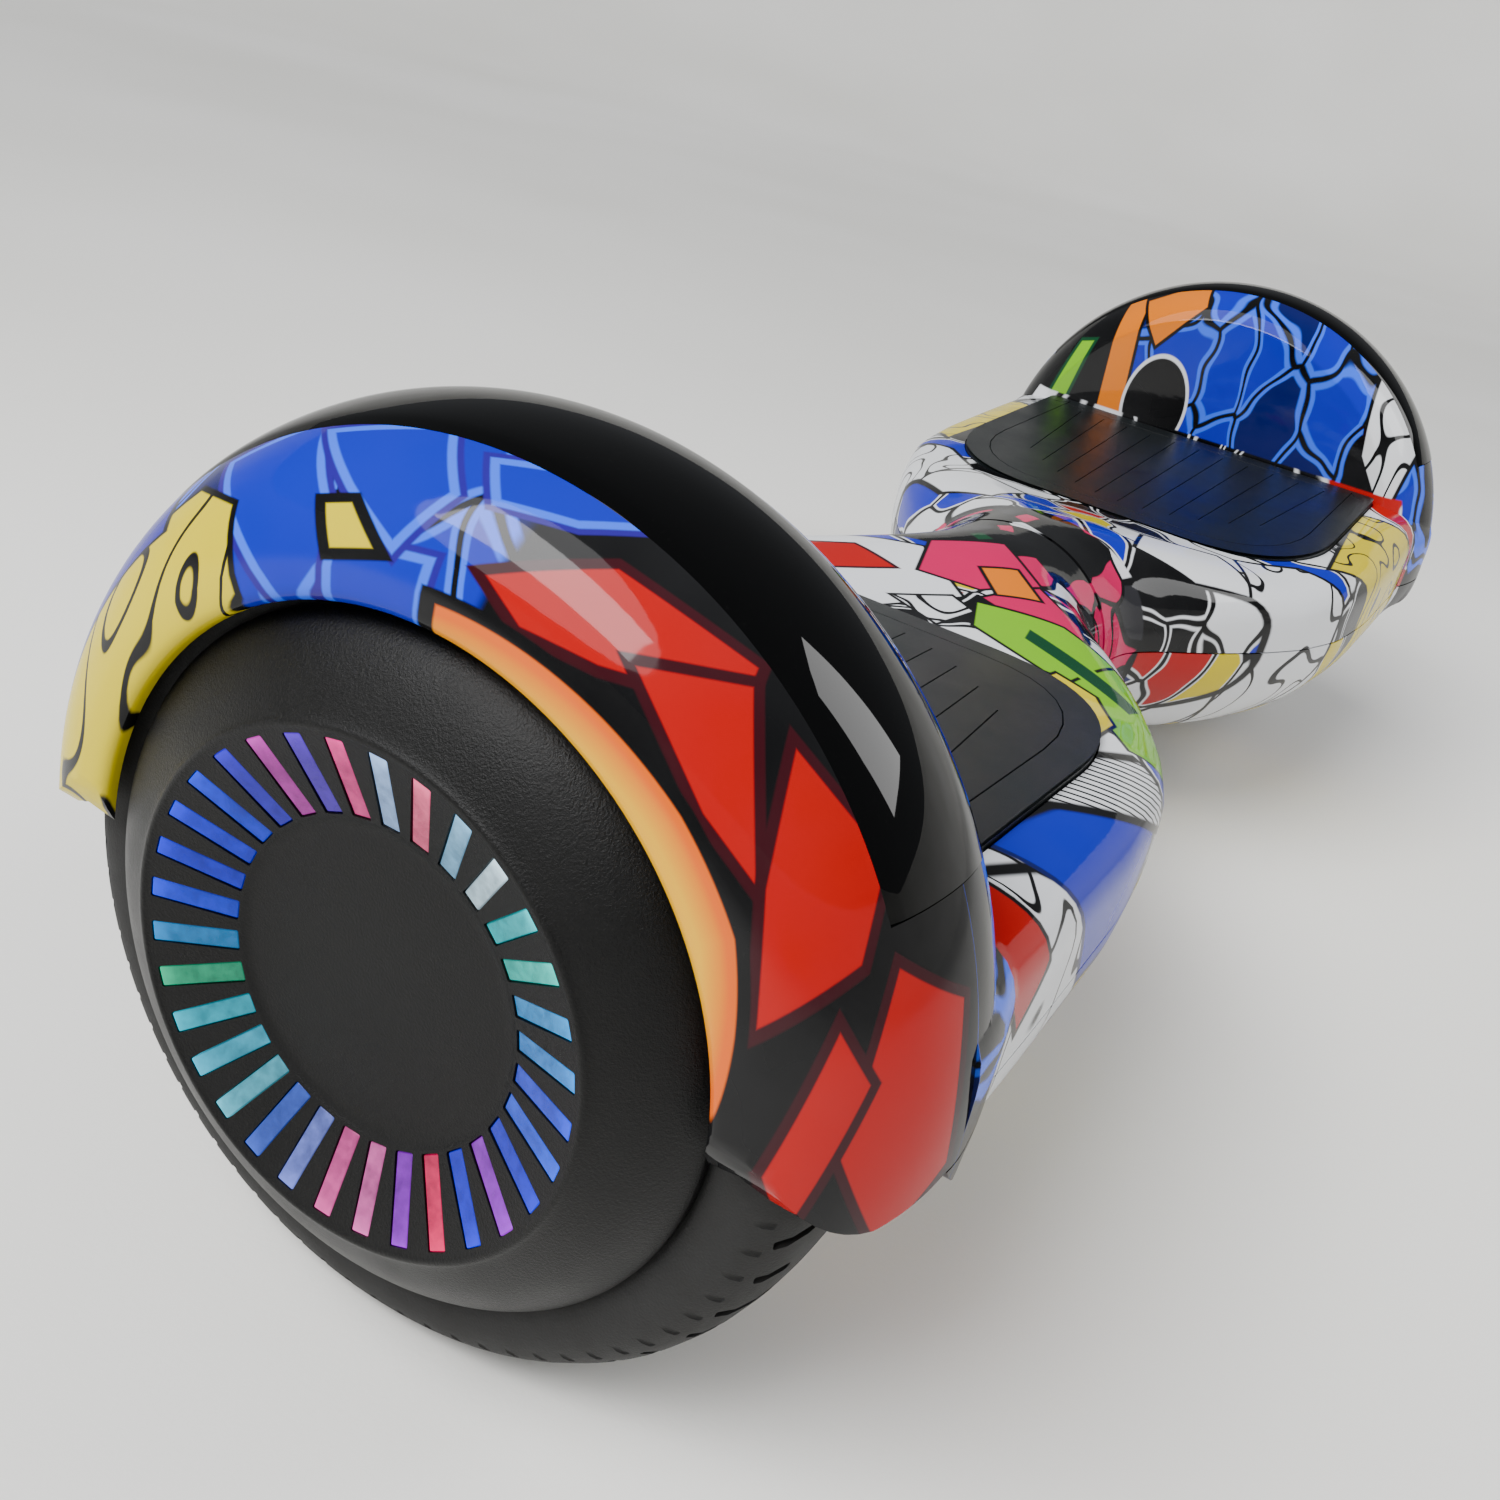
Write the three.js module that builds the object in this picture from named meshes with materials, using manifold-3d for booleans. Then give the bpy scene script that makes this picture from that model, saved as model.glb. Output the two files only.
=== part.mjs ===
// Self-balancing two-wheel board: two mirrored halves, each with a hub-motor wheel at its outer end,
// that twist about one tube on the line of the two axles.
// Millimetres, +Z up, +X to the rider's left, +Y to the rear. The origin is on the ground, midway
// between the wheels. Pieces of a half are made with u, the distance from the middle, in place of x,
// and with z counted from the axle; the right half is the mirrored group.

import * as THREE from "three";
import { mergeVertices } from "three/addons/utils/BufferGeometryUtils.js";
import Module from "manifold-3d";

const wasm = await Module();
wasm.setup();

// ---- Driving sizes -------------------------------------------------------------------------

const HALF_LENGTH = 290.4; // middle of the board to the lip of a hub cap
const WHEEL_RADIUS = 82.5;
const RIM_RADIUS = 60; // seat of the tyre
const TYRE_WIDTH = 46;
const WHEEL_DEPTH = 65.4; // hub cap lip to the outer face of the wheel-well wall
const ARCH_CLEARANCE = 13; // tyre crown to the crest of the arch
const WALL = 2.5; // shells
const GAP = 0.3; // between pieces that touch
const SEAM = 1; // each collar ends this far from the middle
const PARTING_GAP = 0.3; // between upper and lower shells

const COLLAR_RADIUS = 35.7;
const COLLAR_DROP = 2.4; // collar centre below the axle line
const ARCH_OVERHANG = 4; // the arch stands out this far past the body's sides
const GROUND_CLEARANCE = 24.5;
const DECK_HEIGHT = 24.7; // pad top at its inner edge, above the axle line
const DECK_SLOPE = 0.0537; // rise of the pad towards the wheel

const PAD_INNER = 86.5;
const PAD_MARGIN = 20.5; // side of the body to the pad's side edge
const PAD_CORNER_ALONG = 56;
const PAD_CORNER_ACROSS = 43;
const PAD_THICKNESS = 5;
const PAD_TRAVEL = 1.5;
const PAD_GAP = 0.5; // round the pad, in the shell
const PAD_PROUD = 1; // pad top above the shell's deck

const TIP_DROP = 4.5; // the arch's tips reach this far below the axle line
const SKIRT_DROP = 10; // and the lower shell's skirt round the wheel this far
const ARCH_FOOT = 2.4 * SKIRT_DROP; // the arch ends inside the body, this far below the axle line
const STRIP_ANGLE = 60; // degrees each side of the top
const STRIP_THICKNESS = 2;

const AXLE_RADIUS = 8;
const TUBE_RADIUS = 16;
const TUBE_WALL = 3;
const TUBE_HALF_LENGTH = 72;
const BUSH_WALL = 2.8;
const HUB_WALL = 3.5; // chassis metal round the tube and its bushes
const TWIST_LIMIT = 12; // degrees each way
const PIN_RADIUS = 3;

const WINDOW_COUNT = 32;
const WINDOW_WIDTH = 4;
const WINDOW_INNER = 30.7; // radii of a light window's ends
const WINDOW_OUTER = 46;

// ---- Sizes worked out from them --------------------------------------------------------------

const WELL_U = HALF_LENGTH - WHEEL_DEPTH; // outer face of the wheel-well wall
const WHEEL_U = HALF_LENGTH - 36.9; // middle of the tyre
const ARCH_RADIUS = WHEEL_RADIUS + ARCH_CLEARANCE;
const ARCH_U = HALF_LENGTH - 39.9; // crest of the arch
const BODY_HALF_WIDTH = ARCH_RADIUS - ARCH_OVERHANG;
const BELLY_DEPTH = WHEEL_RADIUS - GROUND_CLEARANCE; // underside below the axle line
const PAD_HALF_WIDTH = BODY_HALF_WIDTH - PAD_MARGIN;
const OPENING_U = HALF_LENGTH - 7;
const OPENING_RADIUS = RIM_RADIUS + 5.9;
const PAD_OUTER = WELL_U - WALL - 1.9;
const FACE_U = OPENING_U + 1; // outermost point of the arch's face
const STRIP_INNER_U = WELL_U + 11;
const STRIP_OUTER_U = ARCH_U + 17.5;
const HUB_RADIUS = TUBE_RADIUS + BUSH_WALL + HUB_WALL + 2 * GAP;
const WINDOW_PITCH = (2 * Math.PI) / WINDOW_COUNT;

const ARCH_FACETS = 28; // round the arch, its well and its strip
const ROUND = 20; // facets of the other turned pieces
const SECTION_POINTS = 24; // round the body

// ---- Solids ----------------------------------------------------------------------------------

// A closed geometry as a solid facing out, whichever way its outline ran.
function solid(geometry) {
  const bare = geometry.clone();
  bare.deleteAttribute("normal");
  bare.deleteAttribute("uv");
  const merged = mergeVertices(bare, 1e-4);
  const index = merged.index.array;
  const corners = [];
  for (let i = 0; i < index.length; i += 3) {
    const [a, b, c] = [index[i], index[i + 1], index[i + 2]];
    if (a !== b && b !== c && c !== a) corners.push(a, b, c);
  }
  const make = (triVerts) =>
    new wasm.Manifold(
      new wasm.Mesh({
        numProp: 3,
        vertProperties: new Float32Array(merged.attributes.position.array),
        triVerts: new Uint32Array(triVerts),
      }),
    );
  const made = make(corners);
  return made.volume() < 0 ? make(corners.reverse()) : made;
}

function geometryOf(made) {
  const mesh = made.getMesh();
  const geometry = new THREE.BufferGeometry();
  const points = [];
  for (let i = 0; i < mesh.numVert; i += 1) {
    points.push(...mesh.vertProperties.slice(i * mesh.numProp, i * mesh.numProp + 3));
  }
  geometry.setAttribute("position", new THREE.Float32BufferAttribute(points, 3));
  geometry.setIndex(Array.from(mesh.triVerts));
  geometry.computeVertexNormals();
  return geometry;
}

const union = (...solids) => solids.reduce((all, one) => all.add(one));
const cutBy = (from, ...tools) => tools.reduce((left, tool) => left.subtract(tool), from);

function block([x0, x1], [y0, y1], [z0, z1]) {
  const geometry = new THREE.BoxGeometry(x1 - x0, y1 - y0, z1 - z0);
  return solid(geometry.translate((x0 + x1) / 2, (y0 + y1) / 2, (z0 + z1) / 2));
}

// A solid turned about the axle line from [u, radius] points.
function turned(profile, segments = ROUND, start = 0) {
  const points = profile.map(([u, radius]) => new THREE.Vector2(radius, u));
  points.push(points[0].clone());
  const onAxis = profile[0][1] === 0 && profile[profile.length - 1][1] === 0;
  if (onAxis) points.pop();
  const geometry = new THREE.LatheGeometry(points, segments, start, 2 * Math.PI);
  return solid(geometry.rotateZ(-Math.PI / 2));
}

const ring = ([u0, u1], inner, outer, segments = ROUND) =>
  turned([[u0, inner], [u1, inner], [u1, outer], [u0, outer]], segments);

const rod = ([u0, u1], radius, segments = ROUND) =>
  turned([[u0, 0], [u0, radius], [u1, radius], [u1, 0]], segments);

// A vertical cylinder at (x, y) from z0 to z1.
function post([x, y], [z0, z1], radius, segments = 16) {
  const geometry = new THREE.CylinderGeometry(radius, radius, z1 - z0, segments);
  return solid(geometry.rotateX(Math.PI / 2).translate(x, y, (z0 + z1) / 2));
}

// A flat outline in x and y, from z0 to z1.
function plate(shape, [z0, z1], curveSegments = 8) {
  const settings = { depth: z1 - z0, bevelEnabled: false, curveSegments };
  return solid(new THREE.ExtrudeGeometry(shape, settings).translate(0, 0, z0));
}

// An outline in x and z, from y0 to y1.
function sideways(shape, [y0, y1], curveSegments = 8) {
  const settings = { depth: y1 - y0, bevelEnabled: false, curveSegments };
  const geometry = new THREE.ExtrudeGeometry(shape, settings);
  return solid(geometry.rotateX(Math.PI / 2).translate(0, y1, 0));
}

// ---- Outer form of a half ----------------------------------------------------------------------

// Sections along a half: distance from the middle, share of the way from the collar's half width to the
// body's, rise of the top above the axle line, share of the way from the collar's depth to the belly's,
// and how square the top corners are (2 is an ellipse).
const deckAt = (u) => DECK_HEIGHT + DECK_SLOPE * (u - PAD_INNER) - PAD_PROUD;
const COLLAR_TOP = COLLAR_RADIUS - COLLAR_DROP;
const COLLAR_BOTTOM = COLLAR_RADIUS + COLLAR_DROP;
const OVER_HUB = HUB_RADIUS + WALL + 0.8; // lowest top that clears the chassis hub
const section = (u, widthShare, top, bellyShare, square) => ({
  u,
  width: COLLAR_RADIUS + (BODY_HALF_WIDTH - COLLAR_RADIUS) * widthShare,
  top,
  belly: COLLAR_BOTTOM + (BELLY_DEPTH - COLLAR_BOTTOM) * bellyShare,
  square,
});
const sections = [
  section(SEAM, 0, COLLAR_TOP, 0, 2),
  section(20, 0.02, COLLAR_TOP, 0, 2),
  section(34, 0.16, 32, 0.1, 2.3),
  section(50, 0.38, Math.max(29, OVER_HUB), 0.3, 3),
  section(68, 0.58, OVER_HUB, 0.5, 4),
  section(PAD_INNER + 3, 0.78, deckAt(PAD_INNER), 0.7, 5),
  section(116, 0.925, deckAt(116), 0.9, 6),
  section(150, 0.985, deckAt(150), 1, 6),
  section(WELL_U - 20, 1, deckAt(WELL_U - 20), 1, 6),
  section(WELL_U, 1, deckAt(WELL_U), 1, 6),
];

// The body's cross-section shrunk by inset, as points round the axle line.
function sectionPoints({ u, width, top, belly, square }, inset, at = u) {
  const points = [];
  for (let i = 0; i < SECTION_POINTS; i += 1) {
    const angle = (2 * Math.PI * i) / SECTION_POINTS;
    const [c, s] = [Math.cos(angle), Math.sin(angle)];
    const power = s >= 0 ? 2 / square : 1;
    const height = s >= 0 ? top : belly;
    const y = (width - inset) * Math.sign(c) * Math.abs(c) ** power;
    const z = (height - inset) * Math.sign(s) * Math.abs(s) ** power;
    points.push(new THREE.Vector3(at, Math.abs(y) < 1e-9 ? 0 : y, Math.abs(z) < 1e-9 ? 0 : z));
  }
  return points;
}

// A solid through rings of points, closed by flat ends.
function loft(rings) {
  const count = rings[0].length;
  const points = rings.flat();
  const index = [];
  for (let i = 0; i + 1 < rings.length; i += 1) {
    for (let j = 0; j < count; j += 1) {
      const [a, b] = [i * count + j, i * count + ((j + 1) % count)];
      index.push(a, b, a + count, b, b + count, a + count);
    }
  }
  for (const [first, flip] of [[0, true], [(rings.length - 1) * count, false]]) {
    for (let j = 1; j + 1 < count; j += 1) {
      const fan = [first, first + j, first + j + 1];
      index.push(...(flip ? fan.reverse() : fan));
    }
  }
  const geometry = new THREE.BufferGeometry().setFromPoints(points);
  geometry.setIndex(index);
  return solid(geometry);
}

// The body from its collar to the wheel, run on into the arch so that its sides meet the arch.
function bodyOuter() {
  const last = sections[sections.length - 1];
  const rings = sections.map((section) => sectionPoints(section, 0));
  const flare = { ...last, width: ARCH_RADIUS - 1.5 };
  const end = { ...last, width: ARCH_RADIUS - 0.2 };
  rings.push(sectionPoints(flare, 0, (WELL_U + ARCH_U) / 2), sectionPoints(end, 0, ARCH_U));
  return loft(rings);
}

// The hollow of the body, open at the collar and closed at the wheel-well wall.
function bodyInner() {
  const rings = sections.map((section) => sectionPoints(section, WALL));
  rings[0].forEach((point) => point.setX(SEAM - 2));
  rings[rings.length - 1].forEach((point) => point.setX(WELL_U - WALL));
  return loft(rings);
}

// Round stretch of the arch's profile, from its crest to its flat face.
function faceCurve(crestInset, faceInset, steps) {
  const height = ARCH_RADIUS - OPENING_RADIUS;
  const crest = ARCH_RADIUS - crestInset;
  const face = FACE_U - faceInset;
  const curve = new THREE.CubicBezierCurve(
    new THREE.Vector2(ARCH_U, crest),
    new THREE.Vector2(ARCH_U + 11.5, crest),
    new THREE.Vector2(face - 3.4, crest - 0.19 * height),
    new THREE.Vector2(face, OPENING_RADIUS + 0.2 * height),
  );
  return curve.getPoints(steps).map(({ x, y }) => [x, y]);
}

// Outer profile of the arch, from the well wall over the crest to the edge of the opening.
function archProfile(inset = 0) {
  const over = (drop) => ARCH_RADIUS - drop - inset;
  return [
    [WELL_U - WALL, 0],
    [WELL_U - WALL, over(15)],
    [WELL_U + 0.7, over(10.5)],
    [WELL_U + 5, over(6)],
    [WELL_U + 11, over(3)],
    [WELL_U + 18, over(0.7)],
    ...faceCurve(inset, inset, 6),
    [OPENING_U, OPENING_RADIUS],
  ];
}

// The space of the wheel under the arch.
function wheelWell() {
  const deepen = WALL + STRIP_THICKNESS;
  return turned(
    [
      [WELL_U, 0],
      [WELL_U, ARCH_RADIUS - 19],
      [WELL_U + 4, ARCH_RADIUS - 11.5],
      [WELL_U + 12, ARCH_RADIUS - 2 - deepen],
      ...faceCurve(deepen, WALL, 4),
      [OPENING_U - WALL, OPENING_RADIUS],
      [HALF_LENGTH + 10, OPENING_RADIUS],
      [HALF_LENGTH + 10, 0],
    ],
    ARCH_FACETS,
  );
}

const SKIRT_END_U = ARCH_U + 3;

// Where the upper shell is: above the parting line, and down to rounded tips at the arch's face.
function upperZone() {
  const floor = PARTING_GAP / 2;
  const high = ARCH_RADIUS + 20;
  const tipTop = 13;
  const shape = new THREE.Shape();
  shape.moveTo(0, floor);
  shape.lineTo(SKIRT_END_U + 1, floor);
  shape.lineTo(OPENING_U - 14, -TIP_DROP);
  shape.quadraticCurveTo(FACE_U - 2, -TIP_DROP, FACE_U + 1, tipTop);
  shape.lineTo(HALF_LENGTH + 5, tipTop);
  shape.lineTo(HALF_LENGTH + 5, high);
  shape.lineTo(0, high);
  return sideways(shape, [-high, high]);
}

// Where the lower shell is: below the parting line, with a skirt that tapers off round the wheel.
function lowerZone() {
  const ceiling = -PARTING_GAP / 2;
  const low = -2 * BELLY_DEPTH;
  const side = ARCH_RADIUS + 20;
  const shape = new THREE.Shape();
  shape.moveTo(0, ceiling);
  shape.lineTo(SKIRT_END_U, ceiling);
  shape.quadraticCurveTo(SKIRT_END_U - 8, -SKIRT_DROP, WELL_U + 9, -SKIRT_DROP);
  shape.quadraticCurveTo(WELL_U, -SKIRT_DROP, WELL_U, -1.8 * SKIRT_DROP);
  shape.lineTo(WELL_U, low);
  shape.lineTo(0, low);
  return sideways(shape, [-side, side]);
}

// The part of a turned piece that lies within an angle each side of the top.
function overTop(piece, degrees) {
  const reach = 3 * ARCH_RADIUS;
  const angle = THREE.MathUtils.degToRad(degrees);
  const [y, z] = [reach * Math.sin(angle), reach * Math.cos(angle)];
  const rings = [0, HALF_LENGTH + 20].map((x) => [
    new THREE.Vector3(x, 0, 0),
    new THREE.Vector3(x, y, z),
    new THREE.Vector3(x, 0, reach),
    new THREE.Vector3(x, -y, z),
  ]);
  return piece.intersect(loft(rings));
}

const archSolid = (inset) => turned([...archProfile(inset), [OPENING_U, 0]], ARCH_FACETS);

// The space of the gloss strip over the crest of the arch, and beyond it; grow widens it.
function stripZone(grow) {
  const [from, to] = [STRIP_INNER_U - grow, STRIP_OUTER_U + grow];
  const high = 2 * ARCH_RADIUS;
  const band = turned([[from, 0], [from, high], [to, high], [to, 0]], ARCH_FACETS);
  const zone = band.subtract(archSolid(STRIP_THICKNESS + grow));
  return overTop(zone, STRIP_ANGLE + THREE.MathUtils.radToDeg(grow / ARCH_RADIUS));
}

const fenderStrip = () => stripZone(0).intersect(archSolid(0));

function padShape(grow) {
  const inner = PAD_INNER - grow;
  const outer = PAD_OUTER + grow;
  const side = PAD_HALF_WIDTH + grow;
  const cornerU = PAD_INNER + PAD_CORNER_ALONG;
  const cornerY = PAD_HALF_WIDTH - PAD_CORNER_ACROSS;
  const shape = new THREE.Shape();
  shape.moveTo(inner, -cornerY);
  shape.lineTo(inner, cornerY);
  shape.bezierCurveTo(inner, cornerY + 27, cornerU - 34, side, cornerU, side);
  shape.lineTo(outer, side);
  shape.lineTo(outer, -side);
  shape.lineTo(cornerU, -side);
  shape.bezierCurveTo(cornerU - 34, -side, inner, -cornerY - 27, inner, -cornerY);
  return shape;
}

const padTop = (u) => DECK_HEIGHT + DECK_SLOPE * (u - PAD_INNER);

// A pad-shaped plate whose top follows the slope of the deck.
function padSolid(thickness) {
  const made = plate(padShape(0), [-thickness, 0], 6);
  return made.warp((vertex) => {
    vertex[2] += padTop(vertex[0]);
  });
}

const LIGHT_U = 140;
const LIGHT_Z = 11;

// The front light's outline on the front of the body, cut through the wall.
function lightCutter(grow) {
  const [half, tall] = [24 + grow, 4.5 + grow];
  const shape = new THREE.Shape();
  shape.moveTo(LIGHT_U - half, LIGHT_Z);
  shape.lineTo(LIGHT_U - half + 8, LIGHT_Z - tall);
  shape.lineTo(LIGHT_U + half, LIGHT_Z - tall);
  shape.lineTo(LIGHT_U + half - 6, LIGHT_Z + tall);
  shape.lineTo(LIGHT_U - half + 6, LIGHT_Z + tall);
  return sideways(shape, [-ARCH_RADIUS - 5, -BODY_HALF_WIDTH / 2]);
}

const axleHole = () => rod([WELL_U - 20, WELL_U + 3], AXLE_RADIUS + 3);

function wholeShell() {
  const reach = ARCH_RADIUS + 20;
  const above = block([0, HALF_LENGTH], [-reach, reach], [-ARCH_FOOT, reach]);
  return union(bodyOuter(), archSolid(0).intersect(above)).subtract(bodyInner());
}

function topShell() {
  const shell = wholeShell().intersect(upperZone());
  const padCut = plate(padShape(PAD_GAP), [0, ARCH_RADIUS], 6);
  return cutBy(shell, wheelWell(), padCut, stripZone(GAP), lightCutter(GAP), axleHole());
}

const PORT_U = 122;
const PORT_RADIUS = 11;
const BUTTON_U = 162;
const BUTTON_RADIUS = 8;

function bottomShell(hasPort) {
  let shell = cutBy(wholeShell().intersect(lowerZone()), wheelWell(), axleHole());
  if (hasPort) {
    const depth = [-2 * BELLY_DEPTH, -BELLY_DEPTH / 2];
    shell = cutBy(
      shell,
      post([PORT_U, 0], depth, PORT_RADIUS + GAP),
      post([BUTTON_U, 0], depth, BUTTON_RADIUS + GAP),
    );
  }
  return shell;
}

function frontLight() {
  return bodyOuter().subtract(bodyInner()).intersect(lightCutter(0));
}

// ---- Wheel ---------------------------------------------------------------------------------------

const TYRE_FACETS = 36;
const BEAD = 20; // half the width of the tyre's seat
const CAP_EDGE = OPENING_RADIUS - 1.5; // outer radius of the hub cap
const FLANGE = 2;
const COVER_RADIUS = RIM_RADIUS - 4.8;
const MAGNET_THICKNESS = 4;
const AIR_GAP = 1; // magnets to stator
const BEARING_OUTER = AXLE_RADIUS + 8;
const BEARING_WIDTH = 8;

function tyre() {
  const base = RIM_RADIUS + GAP;
  const height = WHEEL_RADIUS - base;
  const half = TYRE_WIDTH / 2;
  const widest = Math.max(base + 0.36 * height, CAP_EDGE + 3 * GAP);
  const side = (sign) => [
    [WHEEL_U + sign * BEAD, base],
    [WHEEL_U + sign * BEAD, base + FLANGE + 0.2],
    [WHEEL_U + sign * half, widest],
    [WHEEL_U + sign * (half - 1.6), base + 0.64 * height],
    [WHEEL_U + sign * (half - 6.5), base + 0.89 * height],
    [WHEEL_U + sign * (half - 14), WHEEL_RADIUS],
  ];
  return turned([...side(-1), ...side(1).reverse()], TYRE_FACETS);
}

function rim() {
  const out = BEAD + GAP;
  return turned(
    [
      [WHEEL_U - out - FLANGE, RIM_RADIUS - 4.5],
      [WHEEL_U - out - FLANGE, RIM_RADIUS + FLANGE],
      [WHEEL_U - out, RIM_RADIUS + FLANGE],
      [WHEEL_U - out, RIM_RADIUS],
      [WHEEL_U + out, RIM_RADIUS],
      [WHEEL_U + out, RIM_RADIUS + FLANGE],
      [WHEEL_U + out + FLANGE, RIM_RADIUS + FLANGE],
      [WHEEL_U + out + FLANGE, RIM_RADIUS - 4.5],
    ],
  );
}

const OUTER_COVER_U = WHEEL_U + BEAD - 0.5; // outer face of the outer cover
const INNER_COVER_U = WHEEL_U - BEAD; // outer face of the inner cover
const COVER_PLATE = 3.5;
const BOSS = 10;

function outerCover() {
  const plateU = OUTER_COVER_U - COVER_PLATE;
  const [inside, outside] = [BEARING_OUTER + GAP, BEARING_OUTER + 3.5];
  return turned([
    [OUTER_COVER_U, 0],
    [OUTER_COVER_U, COVER_RADIUS],
    [plateU, COVER_RADIUS],
    [plateU, outside],
    [plateU - BOSS, outside],
    [plateU - BOSS, inside],
    [plateU, inside],
    [plateU, 0],
  ]);
}

function innerCover() {
  const plateU = INNER_COVER_U + COVER_PLATE;
  const [inside, outside] = [BEARING_OUTER + GAP, BEARING_OUTER + 3.5];
  return turned([
    [INNER_COVER_U, AXLE_RADIUS + 3],
    [INNER_COVER_U, COVER_RADIUS],
    [plateU, COVER_RADIUS],
    [plateU, outside],
    [plateU + BOSS, outside],
    [plateU + BOSS, inside],
    [plateU, inside],
    [plateU, AXLE_RADIUS + 3],
  ]);
}

const OUTER_BEARING_U = OUTER_COVER_U - COVER_PLATE - GAP - BEARING_WIDTH;
const INNER_BEARING_U = INNER_COVER_U + COVER_PLATE + GAP;
const bearing = (from) => ring([from, from + BEARING_WIDTH], AXLE_RADIUS + GAP, BEARING_OUTER, 16);

function magnetRing() {
  return ring([WHEEL_U - 13, WHEEL_U + 13], COVER_RADIUS - MAGNET_THICKNESS, COVER_RADIUS);
}

// Laminated core with its windings standing out each side, on a hub between the bearings.
function stator() {
  const outer = COVER_RADIUS - MAGNET_THICKNESS - AIR_GAP;
  const hub = BEARING_OUTER + 5;
  const [from, to] = [INNER_COVER_U + COVER_PLATE + BOSS + 1, OUTER_COVER_U - COVER_PLATE - BOSS - 1];
  return turned([
    [from, AXLE_RADIUS + GAP],
    [to, AXLE_RADIUS + GAP],
    [to, hub],
    [WHEEL_U + 12, hub + 4],
    [WHEEL_U + 12, outer - 4],
    [WHEEL_U + 9, outer],
    [WHEEL_U - 9, outer],
    [WHEEL_U - 12, outer - 4],
    [WHEEL_U - 12, hub + 4],
    [from, hub],
  ]);
}

const CLAMP_U = [WELL_U - 41, WELL_U - 11]; // the axle's seat in the chassis

// Axle with two flats where the chassis clamps it.
function axle() {
  const from = CLAMP_U[0];
  const flat = AXLE_RADIUS - 1.5;
  const bar = rod([from, OUTER_BEARING_U + BEARING_WIDTH], AXLE_RADIUS, 16);
  const side = [-2 * AXLE_RADIUS, 2 * AXLE_RADIUS];
  const reach = [from - 1, CLAMP_U[1]];
  const above = block(reach, side, [flat, 2 * AXLE_RADIUS]);
  const below = block(reach, side, [-2 * AXLE_RADIUS, -flat]);
  return cutBy(bar, above, below);
}

// The dished band of the hub cap that holds the windows, from DISH_INNER out to DISH_OUTER.
const DISH_MARGIN = 0.8; // band beyond each end of a window
const DISH_INNER = WINDOW_INNER - DISH_MARGIN;
const DISH_OUTER = WINDOW_OUTER + DISH_MARGIN;
const DISH_ANGLE = THREE.MathUtils.degToRad(21);
const CAP_SEAT = OPENING_U - 7.2;
const CAP_WALL = 2.2;
const LENS_DEPTH = CAP_WALL + 2 * GAP; // dished face to the lens behind it
const LENS_THICKNESS = 1.6;
const dishU = (radius) => HALF_LENGTH - 0.3 - (DISH_OUTER - radius) * Math.tan(DISH_ANGLE);

// Cuts window number index through the dished band.
function windowCutter(index) {
  const length = (WINDOW_OUTER - WINDOW_INNER) / Math.cos(DISH_ANGLE);
  const middle = (WINDOW_OUTER + WINDOW_INNER) / 2;
  const geometry = new THREE.BoxGeometry(4 * CAP_WALL, WINDOW_WIDTH, length);
  geometry.rotateY(DISH_ANGLE);
  geometry.translate(dishU(middle), 0, middle);
  return solid(geometry.rotateX(index * WINDOW_PITCH));
}

function hubCap() {
  const lip = DISH_OUTER + 2.1;
  const dome = (part) => lip + (CAP_EDGE - lip) * part;
  const behind = (radius) => dishU(radius) - CAP_WALL / Math.cos(DISH_ANGLE);
  const shell = turned(
    [
      [dishU(DISH_INNER) - 1, 0],
      [dishU(DISH_INNER), DISH_INNER],
      [dishU(DISH_OUTER), DISH_OUTER],
      [HALF_LENGTH, DISH_OUTER + 0.7],
      [HALF_LENGTH - 1.3, lip],
      [HALF_LENGTH - 3.4, dome(0.28)],
      [HALF_LENGTH - 6.6, dome(0.62)],
      [CAP_SEAT + 2, CAP_EDGE],
      [CAP_SEAT, CAP_EDGE],
      [CAP_SEAT, CAP_EDGE - 2.4],
      [behind(DISH_OUTER + 2), DISH_OUTER + 2],
      [behind(DISH_INNER), DISH_INNER],
      [behind(DISH_INNER), 0],
    ],
    WINDOW_COUNT,
    WINDOW_PITCH / 2,
  );
  const cutters = [];
  for (let i = 0; i < WINDOW_COUNT; i += 1) cutters.push(windowCutter(i));
  return cutBy(shell, union(...cutters));
}

// Clear ring just behind the windows, dished like the band.
function lightLens() {
  const faceU = (radius) => dishU(radius) - LENS_DEPTH / Math.cos(DISH_ANGLE);
  return turned(
    [
      [faceU(DISH_INNER) - LENS_THICKNESS, DISH_INNER],
      [faceU(DISH_INNER), DISH_INNER],
      [faceU(DISH_OUTER), DISH_OUTER],
      [faceU(DISH_OUTER) - LENS_THICKNESS, DISH_OUTER],
    ],
    WINDOW_COUNT,
    WINDOW_PITCH / 2,
  );
}

const LED_BOARD = 1.6; // thickness
const ledBoard = () => {
  const from = OUTER_COVER_U + 2.2;
  return ring([from, from + LED_BOARD], DISH_INNER - 4, DISH_OUTER - 6);
};

// ---- Chassis and pivot -----------------------------------------------------------------------------

const PLATE_TOP = -10;
const PLATE_BOTTOM = -14;
const HUB_U = [14, 66];
const SCREW_RADIUS = 2.5;
const SCREW_Y = AXLE_RADIUS + 9;
const SCREW_U = (CLAMP_U[0] + CLAMP_U[1]) / 2;
const CLAMP_TOP = AXLE_RADIUS + 6;
const CHASSIS_HALF_WIDTH = PAD_HALF_WIDTH - 15;
const PIN_U = 40;

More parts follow.
